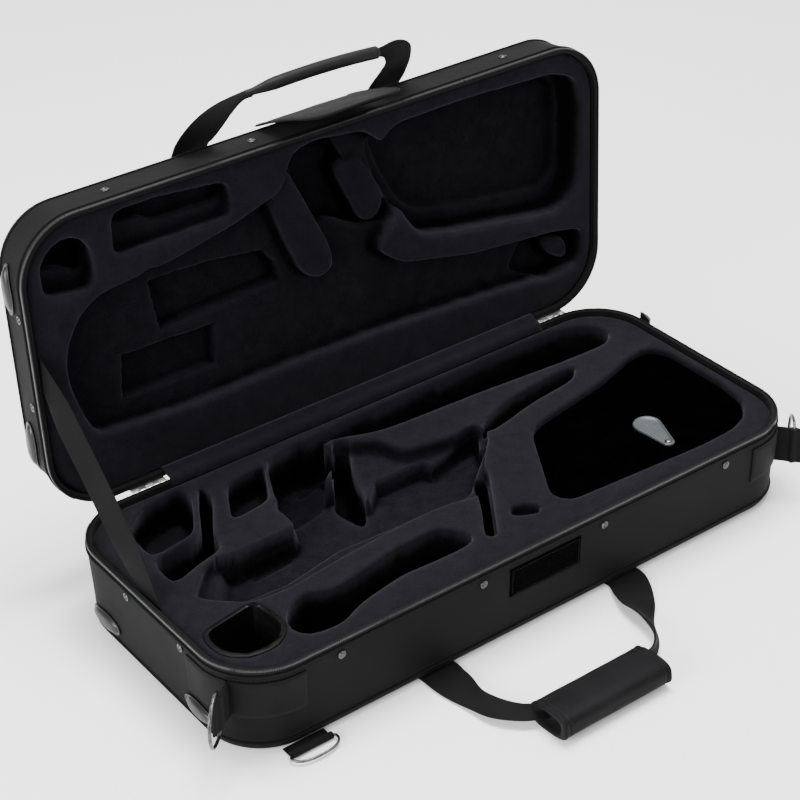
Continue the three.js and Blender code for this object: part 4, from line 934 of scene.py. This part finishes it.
for tub, prefix, front_drop, end_drop in ((base_tub, "base", 16, 13.5), (lid_tub, "lid", 25, 15)):
    for i, x in enumerate((-222, -70, 70, 222)):
        node = f"{prefix}_stud_front_{i + 1}"
        stud(front_frame(tub, x, tub.depth - front_drop), f"{prefix}_rivet_{i + 1}", tub.body, node)
    for end, side in ((-1, "left"), (1, "right")):
        for y, place_name in ((32, "rear"), (-56, "front")):
            where = f"{side}_{place_name}"
            place = frame_on(tub, (end, 0, 0), (end * HALF_LENGTH, -y * tub.front, tub.depth - end_drop))
            stud(place, f"{prefix}_rivet_{where}", tub.body, f"{prefix}_stud_{where}")
            point = 1 if place_name == "front" else -1
            bumper(tub, end, point, f"{prefix}_guard_{where}", f"{prefix}_bumper_{where}")


PATCH_WIDTH, PATCH_HEIGHT, PATCH_THICK, PATCH_SEAM = 82, 31, 1.2, 2.4


def patch(name, place, body, node):
    """A rounded panel of hook or loop pile, stitched round its edge."""
    columns, rows = 42, 18
    width, height, thick = PATCH_WIDTH, PATCH_HEIGHT, PATCH_THICK
    points, uvs = [], []
    for j in range(rows + 1):
        for i in range(columns + 1):
            x = width * (i / columns - 0.5)
            y = height * (j / rows - 0.5)
            edge = min(width / 2 - abs(x), height / 2 - abs(y))
            rise = thick * min(1.0, 0.35 + edge / 3.0) - 0.35 * math.exp(-((edge - PATCH_SEAM) / 0.7) ** 2)
            points.append((x, y, max(0.15, rise)))
            uvs.append((x, y))
    faces = grid_faces(rows + 1, columns + 1)
    loop, start = edge_loop(rows + 1, columns + 1), len(points)
    points += [(*points[k][:2], 0.0) for k in loop]
    uvs += [(0, 0)] * len(loop)
    for k, (a, b) in enumerate(zip(loop, loop[1:] + loop[:1])):
        faces.append((a, b, start + (k + 1) % len(loop), start + k))
    finish_piece(make_mesh(name, points, faces, place, uvs), body, pile, (node,))
    w, h = width / 2 - PATCH_SEAM, height / 2 - PATCH_SEAM
    seam = stepped([(x, y, thick) for x, y in ((-w, -h), (w, -h), (w, h), (-w, h), (-w, -h))], 12)
    stitches(name + "_stitches", body, seam, [(0, 0, 1)], place, 2.4, 1.0, 0.22, -0.1, closed=True)


patch("base_patch", front_frame(base_tub, 1.0, 61.5), "base", "base_loop_patch")


# ---- flap
# The axis on the lid's front wall that the flap and the handle turn on
LID_AXIS_Y, LID_AXIS_Z = 143.0, 4.2
FLAP_TURN = Matrix.Rotation(math.radians(-21), 4, "X")
FLAP_PLACE = LID @ Matrix.Translation((4, LID_AXIS_Y, LID_AXIS_Z)) @ FLAP_TURN
FLAP_WIDTH, FLAP_LENGTH, FLAP_CORNER, FLAP_BOW, FLAP_HALF = 108.0, 103.0, 24.0, 2.4, 1.05
# Depth of the turned hem along the flap's edge, and where its patch starts
HEM, HOOK_START = 5.2, 66.8


def flap_height(x, along):
    """The bow along the flap, its waves and its curl at the sides."""
    wave = 0.5 * noise_wave((x, along, 0), 30.0, 3.0)
    curl = 0.9 * (x / 54.0) ** 2 * (along / FLAP_LENGTH)
    return 4 * FLAP_BOW * (along / FLAP_LENGTH) * (1 - along / FLAP_LENGTH) + wave - curl


def flap_half(along, inset=0.0):
    """Half the flap's width, drawn in by an inset: straight sides, then rounded corners."""
    left = FLAP_LENGTH - inset - along
    corner = FLAP_CORNER - inset
    half = FLAP_WIDTH / 2 - inset
    if left < corner:
        half -= corner - math.sqrt(max(corner**2 - (corner - max(left, 0)) ** 2, 0))
    return half


def flap_piece():
    rows, columns = 44, 40
    shares = [1 - (1 - i / rows) ** 1.35 for i in range(rows + 1)]
    top, bottom, uvs = [], [], []
    for share in shares:
        along = FLAP_LENGTH * share
        half = flap_half(min(along, FLAP_LENGTH - 0.02))
        for j in range(columns + 1):
            x = half * (2 * j / columns - 1)
            edge = min(half - abs(x), (FLAP_LENGTH - along) * 0.9)
            hem = 0.35 if edge < HEM else 0.0
            groove = -0.35 * math.exp(-((edge - HEM - 0.4) / 0.5) ** 2)
            rounding = -0.8 * max(0.0, 1 - edge / 1.0) ** 2
            y = flap_height(x, along)
            top.append((x, y + FLAP_HALF + hem + groove + rounding, along))
            bottom.append((x, y - FLAP_HALF - rounding, along))
            uvs.append((x, along))
    obj = slab("flap_cloth", top, bottom, columns + 1, FLAP_PLACE, uvs)
    finish_piece(obj, "flap", nylon, ("lid_flap",))
    inset, steps, sides = 4.2, 60, []
    for i in range(steps + 1):
        along = (FLAP_LENGTH - inset) * (1 - (1 - i / steps) ** 1.6)
        sides.append((flap_half(min(along, FLAP_LENGTH - inset - 0.02), inset), along))
    outline = [(-h, a) for h, a in sides] + [(h, a) for h, a in reversed(sides)]
    path = [(x, flap_height(x, along) + 1.4, along) for x, along in outline]
    stitches("flap_stitches", "flap", path, [(0, 1, 0)], FLAP_PLACE, 2.8, 1.1, 0.26)
    hook = FLAP_PLACE @ Matrix.Translation((0, -1.5, HOOK_START + PATCH_HEIGHT / 2))
    patch("flap_patch", hook @ Matrix.Rotation(math.radians(90), 4, "X"), "flap", "flap_hook_patch")
    return obj


flap_piece()


# ---- handles
FOOT_MIDDLE, FOOT_SPACING, WEB = -10.0, 217.0, 38.0
FOOT_LEFT, FOOT_RIGHT = FOOT_MIDDLE - FOOT_SPACING / 2, FOOT_MIDDLE + FOOT_SPACING / 2
# From each handle's axis to the middle of what is held
BASE_REACH, LID_REACH = 115, 67
BASE_AXIS_Y, BASE_AXIS_Z = -147.1, 1.5
# The base's handle hangs until its wrap, 12.5 mm and a gap from its middle, is down to the ground
BASE_TILT = math.asin((12.5 - BASE_AXIS_Z + 2 * SEAT) / BASE_REACH)
BASE_TURN = Matrix.Rotation(math.pi - BASE_TILT, 4, "X")
BASE_HANDLE = Matrix.Translation((0, BASE_AXIS_Y, BASE_AXIS_Z)) @ BASE_TURN
LID_TURN = Matrix.Rotation(math.radians(37.5), 4, "X")
LID_HANDLE = LID @ Matrix.Translation((0, LID_AXIS_Y, LID_AXIS_Z)) @ LID_TURN


def leg(name, stations, place, replaces):
    """A strap of webbing through stations of (x, y, z, width, turn)."""
    steps, across, thick = 9, 12, 2.2
    table = np.array(stations, dtype=float)
    rows = []
    for i in range(len(table) - 1):
        p0, p1 = table[max(i - 1, 0)], table[i]
        p2, p3 = table[i + 1], table[min(i + 2, len(table) - 1)]
        for k in range(steps):
            t = k / steps
            rows.append(0.5 * (2 * p1 + (p2 - p0) * t + (2 * p0 - 5 * p1 + 4 * p2 - p3) * t**2
                               + (3 * p1 - p0 - 3 * p2 + p3) * t**3))
    rows.append(table[-1])
    top, bottom, uvs = [], [], []
    run = 0.0
    for i, row in enumerate(rows):
        before, after = rows[max(i - 1, 0)], rows[min(i + 1, len(rows) - 1)]
        along = Vector(after[:3] - before[:3]).normalized()
        if i:
            run += Vector(row[:3] - rows[i - 1][:3]).length
        side = along.cross(Vector((0, 0, 1))).normalized()
        up = side.cross(along)
        width, turn = row[3], row[4]
        across_way = side * math.cos(turn) + up * math.sin(turn)
        normal = up * math.cos(turn) - side * math.sin(turn)
        cup = 0.10 * (WEB - width)
        for j in range(across + 1):
            v = j / across - 0.5
            edge = min(0.5 - abs(v), 0.06) / 0.06
            half = thick / 2 * (0.55 + 0.45 * edge)
            q = Vector(row[:3]) + across_way * (v * width) + normal * (cup * (1 - (2 * v) ** 2) * 0.6)
            top.append(q + normal * half)
            bottom.append(q - normal * half)
            uvs.append((run, v * width))
    obj = slab(name, top, bottom, across + 1, place, uvs, sharp=60)
    finish_piece(obj, None, webbing, replaces)
    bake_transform(obj)


LEGS = {
    "base_left": [(FOOT_LEFT, -11, 0, WEB, 0), (FOOT_LEFT, -2, 0, WEB, 0), (-119.5, 8, 0, 37, 0),
                  (-121, 28, -1, 30, -0.25), (-121, 50, -1, 21, -0.45), (-116, 72, -1, 21, -0.3),
                  (-104, 91, -1, 17, -0.4), (-91, 101, -1, 14, -0.8), (-80, 106, 0, 12, -0.9)],
    "base_right": [(FOOT_RIGHT, -11, 0, WEB, 0), (FOOT_RIGHT, -2, 0, WEB, 0), (95, 8, 0, 37, 0),
                   (86, 24, -1, 36, 0.1), (76, 42, -2, 31, 0.3), (67, 62, -2, 19, 0.8),
                   (58, 84, -1, 12, 1.25), (45, 98, 0, 11, 1.35), (30, 105, 0, 11, 1.2),
                   (18, 107, 0, 11, 1.1)],
    "lid_left": [(FOOT_LEFT, -6, 0, WEB, 0), (FOOT_LEFT, -2, 0, WEB, 0), (-118, 8, 0, 37, 0.1),
                 (-114, 24, 0, 30, 0.35), (-107, 40, 0, 22, 0.7), (-97, 55, 0, 14, 1.15),
                 (-86, 65, 0, 8, 1.45), (-76, 67, 0, 8, 1.5)],
    "lid_right": [(FOOT_RIGHT, -6, 0, WEB, 0), (FOOT_RIGHT, -2, 0, WEB, 0), (99, 10, 0, 37, 0),
                  (98, 30, 0, 36, -0.1), (93, 50, 0, 31, -0.2), (80, 64, 0, 22, -0.2), (64, 67, 0, 14, 0),
                  (54, 67, 0, 11, 0)],
}
for half, place in (("base", BASE_HANDLE), ("lid", LID_HANDLE)):
    for side in ("left", "right"):
        leg(f"{half}_leg_{side}", LEGS[f"{half}_{side}"], place,
            (half + "_handle_webbing",) if side == "left" else ())


def rounded_square(angle, power):
    """A point of a superellipse with half axes of 1."""
    c, s = math.cos(angle), math.sin(angle)
    scale = (abs(c) ** power + abs(s) ** power) ** (-1 / power)
    return scale * c, scale * s


def sleeve(name, node, half, look, size, reach, offset, power, mouth, flare, ridge, neck=1.0, bow=0.0):
    """A padded sleeve round the webbing; its left end narrows to neck, and bow lifts its middle."""
    length, width, thick = size
    place, body = (BASE_HANDLE if half == "base" else LID_HANDLE), half + "_handle"
    turns = [math.tau * k / 64 for k in range(64)]
    # from the folded-in mouth out over its lip, with a groove for the seam behind it
    mouths = ((9, mouth * 0.8), (4, mouth), (0.6, mouth + 0.12), (0, mouth + 0.2), (0.3, flare - 0.08),
              (1.1, flare - 0.01), (2.4, flare), (5.2, 1.0), (5.9, 0.975), (6.6, 1.0))
    left = [(x - length / 2, scale) for x, scale in mouths]
    stretch = [(x, 1.0) for x in np.linspace(-length / 2 + 9, length / 2 - 9, 30)]
    stations = left + stretch + [(-x, scale) for x, scale in reversed(left)]
    points, uvs = [], []
    for x, scale in stations:
        lift = bow * (1 - (2 * x / length) ** 2)
        ease = min((x + length / 2) / 34, 1.0)
        scale *= neck + (1 - neck) * ease * ease * (3 - 2 * ease)
        for angle in turns:
            c, s = rounded_square(angle, power)
            soft = 1 + 0.012 * noise_wave((x, 40 * math.cos(angle), 40 * math.sin(angle)), 22.0, 7.0)
            seam = -ridge * math.exp(-((angle - 4.1) / 0.06) ** 2)
            y = reach + scale * soft * (width / 2 + seam) * c
            points.append((FOOT_MIDDLE + offset + x, y + lift, scale * soft * (thick / 2 + seam) * s))
            uvs.append((x, angle * width / 3))
    obj = make_mesh(name, points, drum_faces(len(stations), len(turns)), place, uvs)
    finish_piece(obj, body, look, (node,))
    for side, end, small in (("left", -1, neck + (1 - neck) * 0.12), ("right", 1, 1.0)):
        x = end * (length / 2 - 7.4)
        lift = bow * (1 - (2 * x / length) ** 2)
        path = []
        for angle in turns:
            c, s = rounded_square(angle, power)
            y = reach + small * (width / 2) * c + lift
            path.append((FOOT_MIDDLE + offset + x, y, small * (thick / 2) * s))
        normals = [Vector((0, math.cos(a) / width, math.sin(a) / thick)).normalized() for a in turns]
        stitches(f"{name}_stitches_{side}", body, path, normals, place, 2.4, 1.1, 0.24, 0.05, closed=True)


sleeve("wrap_pad", "handle_wrap", "base", wrap_look, size=(122, 46, 24), reach=BASE_REACH,
       offset=-24, power=3.2, mouth=0.62, flare=1.03, ridge=1.2)
sleeve("grip_pad", "lid_handle_grip", "lid", grip_look, size=(145, 12.5, 11.5), reach=LID_REACH,
       offset=0, power=2.1, mouth=0.5, flare=1.0, ridge=0.5, neck=0.5, bow=5.5)


# ---- corner tabs, anchor, rings
# A corner tab's foot and head, and its fin: reach, half thickness, where the ring's bar is and its radius
TAB_LOW, TAB_HIGH = 40.0, 78.0
FIN_REACH, FIN_HALF, BAR_AT, BAR_RADIUS = 29, 1.55, 17, 3.9


def corner_tab(end, angle, name, node):
    """A pad of webbing round a front corner, with a fin that holds a ring's bar."""
    low, high = TAB_LOW, TAB_HIGH
    t0, t1 = CORNER_Y - 20, CORNER_Y + ARC + 7
    steps, rows = 60, 14
    outer, inner, uvs = [], [], []
    for i in range(steps + 1):
        t = t0 + (t1 - t0) * i / steps
        for j in range(rows + 1):
            z = low + (high - low) * j / rows
            edge = min(min(i, steps - i) * (t1 - t0) / steps, min(j, rows - j) * (high - low) / rows)
            thick = 1.8 * (0.6 + 0.4 * min(1.0, edge / 1.5))
            outer.append(wall_point(base_tub, end, t, z, SEAT + thick))
            inner.append(wall_point(base_tub, end, t, z, SEAT))
            uvs.append((t, z))
    obj = slab(name + "_pad", outer, inner, rows + 1, BASE, uvs, sharp=60)
    finish_piece(obj, "base", webbing, (node,))
    # the fin: webbing folded back on itself round the ring's bar
    tip = CORNER + FIN_REACH
    radii = np.linspace(CORNER - 1.6, tip, 46)
    halves = []
    for r in radii:
        half = max(FIN_HALF, math.sqrt(max(0.0, BAR_RADIUS**2 - (r - CORNER - BAR_AT) ** 2)))
        halves.append(half * (0.4 + 0.6 * min(1.0, (tip - r) / 1.5)))
    for _ in range(2):
        ends = [halves[0], *halves, halves[-1]]
        halves = [(a + 2 * b + c) / 4 for a, b, c in zip(ends, ends[1:], ends[2:])]
    side = list(zip(radii, halves))
    loop = side + [(r, -h) for r, h in reversed(side)]
    levels = [(low, 0.75), (low + 0.5, 0.95), (low + 1.4, 1.0)]
    levels += [(z, 1.0) for z in np.linspace(low + 3, high - 3, 12)]
    levels += [(high - 1.4, 1.0), (high - 0.5, 0.95), (high, 0.75)]
    points = [(r, h * scale, z) for z, scale in levels for r, h in loop]
    uvs = [(r, z) for z, _ in levels for r, _ in loop]
    place = Matrix.Translation((end * CORNER_X, -CORNER_Y, 0)) @ Matrix.Rotation(angle, 4, "Z")
    fin = make_mesh(name + "_fin", points, drum_faces(len(levels), len(loop)), place, uvs, sharp=60)
    finish_piece(fin, "base", webbing)
    # stitches round three sides of each end of the pad, either side of the fin
    for tag, a, b in (("front", t1 - 26, t1 - 3), ("rear", t0 + 24, t0 + 3)):
        seam = stepped([(a, low + 3), (b, low + 3), (b, high - 3), (a, high - 3)], 10)
        path, off = ([wall_point(base_tub, end, t, z, SEAT + out) for t, z in seam] for out in (1.85, 2.85))
        normals = [(b - a).normalized() for a, b in zip(path, off)]
        stitches(f"{name}_stitches_{tag}", "base", path, normals, BASE, 2.2, 1.0, 0.24)


corner_tab(-1, math.radians(210), "tab_left", "corner_tab_left")
corner_tab(1, math.radians(-50), "tab_right", "corner_tab_right")


anchor = copy_of("strap_anchor", "anchor_loop")
soften(anchor, 0.0005, 3)
box_uv(anchor)
smooth_shaded(anchor)
finish_piece(anchor, "base", webbing, ("strap_anchor",))
for node in ("left_ring", "right_ring", "anchor_ring"):
    rounded_cad(node, ring_metal, levels=2, sharp=180)
for half in ("base", "lid"):
    for side in ("left", "right"):
        rounded_cad(f"hinge_{half}_leaf_{side}", hinge_metal, 0.0002)
for node in ("zip_slider", "zip_pull"):
    rounded_cad(node, slider_metal, 0.00025)


# ---- stay strap
STAY_TWIST, STAY_WIDTH = math.radians(30), 25


def stay_piece():
    """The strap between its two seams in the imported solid, turned to show its face."""
    corners = [v.co / MM for v in nodes["stay_strap"].data.vertices]
    xs = [c.x for c in corners]
    x_mid = (min(xs) + max(xs)) / 2
    corners = {(round(c.y, 1), round(c.z, 1)): c for c in corners}
    ends = sorted(corners.values(), key=lambda c: c.z)
    low = sorted(ends[:2], key=lambda c: c.y)
    high = sorted(ends[2:], key=lambda c: -c.z)
    steps, across = 48, 10
    front, back, uvs = [], [], []
    run = (high[0] + high[1]) / 2 - (low[0] + low[1]) / 2
    length = run.length
    for i in range(steps + 1):
        t = i / steps
        a, b = low[0].lerp(high[0], t), low[1].lerp(high[1], t)
        give = 1.6 * math.sin(math.pi * t)
        twist = Matrix.Rotation(STAY_TWIST * min(1.0, 4 * t, 5 * (1 - t)), 3, run)
        out = twist @ Vector((1, 0, 0))
        for j in range(across + 1):
            v = j / across
            centre = (a + b) / 2
            p = centre + twist @ (a.lerp(b, v) - centre)
            cup = 0.5 * (1 - (2 * v - 1) ** 2) * math.sin(math.pi * t)
            half = 0.6 * min(1.0, 0.5 + 10 * min(v, 1 - v))
            p.x += x_mid - centre.x + give + cup
            front.append(p + out * half)
            back.append(p - out * half)
            uvs.append((length * t, STAY_WIDTH * v))
    obj = slab("stay_webbing", front, back, across + 1, BASE, uvs, sharp=60)
    finish_piece(obj, None, webbing, ("stay_strap",))
    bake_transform(obj)


stay_piece()


def gusset():
    """A plush strip over the hinge line, from the base's rim to the lid's."""
    section = [(139.4, 86.6), (139.7, 89.6), (140.4, 91.9), (142.6, 93.4), (145.6, 93.9), (148.8, 94.4),
               (151.4, 95.9), (153.4, 97.6), (155.6, 98.0), (158.4, 97.4)]
    steps = 150
    x0, x1 = -211.0, 236.0
    front, back, uvs = [], [], []
    run = [0.0]
    for a, b in zip(section, section[1:]):
        run.append(run[-1] + math.hypot(b[0] - a[0], b[1] - a[1]))
    for i in range(steps + 1):
        x = x0 + (x1 - x0) * i / steps
        for k, (y, z) in enumerate(section):
            wave = 0.35 * noise_wave((x, y * 3, 0), 26.0, 11.0) * math.sin(math.pi * k / (len(section) - 1))
            front.append((x, y, z + wave + 0.45))
            back.append((x, y, z + wave - 0.45))
            uvs.append((x, run[k]))
    obj = slab("hinge_gusset", front, back, len(section), BASE, uvs)
    shade = obj.data.attributes.new("shade", "FLOAT", "POINT")
    shade.data.foreach_set("value", [0.72] * len(obj.data.vertices))
    finish_piece(obj, None, plush)
    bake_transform(obj)


gusset()


# ---- stage, light, camera
def stage():
    floor_look = bpy.data.materials.new("floor")
    floor_look.use_nodes = True
    bsdf = floor_look.node_tree.nodes["Principled BSDF"]
    bsdf.inputs["Base Color"].default_value = (0.86, 0.86, 0.86, 1)
    bsdf.inputs["Roughness"].default_value = 0.9
    mesh = bpy.data.meshes.new("floor")
    size, level = 14.0, -0.0004
    corners = [(x * size, y * size, level) for x, y in ((-1, -1), (1, -1), (1, 1), (-1, 1))]
    mesh.from_pydata(corners, [], [(0, 1, 2, 3)])
    floor = bpy.data.objects.new("floor", mesh)
    scene.collection.objects.link(floor)
    mesh.materials.append(floor_look)


def lights():
    world = bpy.data.worlds.new("studio")
    scene.world = world
    world.use_nodes = True
    background = world.node_tree.nodes["Background"]
    background.inputs["Color"].default_value = (1, 1, 1, 1)
    background.inputs["Strength"].default_value = 1.15

    def area(name, at, size, power):
        data = bpy.data.lights.new(name, "AREA")
        data.shape = "RECTANGLE"
        data.size, data.size_y = size
        data.energy = power
        lamp = bpy.data.objects.new(name, data)
        scene.collection.objects.link(lamp)
        lamp.location = at
        lamp.rotation_euler = (Vector((0, 0, 0.1)) - Vector(at)).to_track_quat("-Z", "Y").to_euler()

    area("key", (-2.5, -0.5, 1.2), (1.6, 1.2), 120)
    area("fill", (1.9, -1.7, 1.5), (1.6, 1.4), 8)
    area("top", (0.3, 0.2, 2.6), (1.6, 1.0), 160)


# Focal length: 2080.5 pixels, on a frame that is 800 pixels and 36 mm wide
SENSOR = 36
LENS = 2080.5 / 800 * SENSOR
CAMERA_AT = (-0.9714, -1.2639, 1.1930)


def camera():
    """The camera that was solved from the photograph's straight edges."""
    yaw, pitch, roll = math.radians(36.118), math.radians(32.77), math.radians(-1.543)
    forward = Vector((math.sin(yaw) * math.cos(pitch), math.cos(yaw) * math.cos(pitch), -math.sin(pitch)))
    right = forward.cross(Vector((0, 0, 1))).normalized()
    up = right.cross(forward)
    tilted = Matrix((right, up, -forward)).transposed() @ Matrix.Rotation(roll, 3, "Z")
    data = bpy.data.cameras.new("camera")
    data.sensor_fit = "AUTO"
    data.sensor_width = SENSOR
    data.lens = LENS
    data.clip_end = 60
    obj = bpy.data.objects.new("camera", data)
    scene.collection.objects.link(obj)
    obj.matrix_world = Matrix.Translation(CAMERA_AT) @ tilted.to_4x4()
    scene.camera = obj


stage()
lights()
camera()
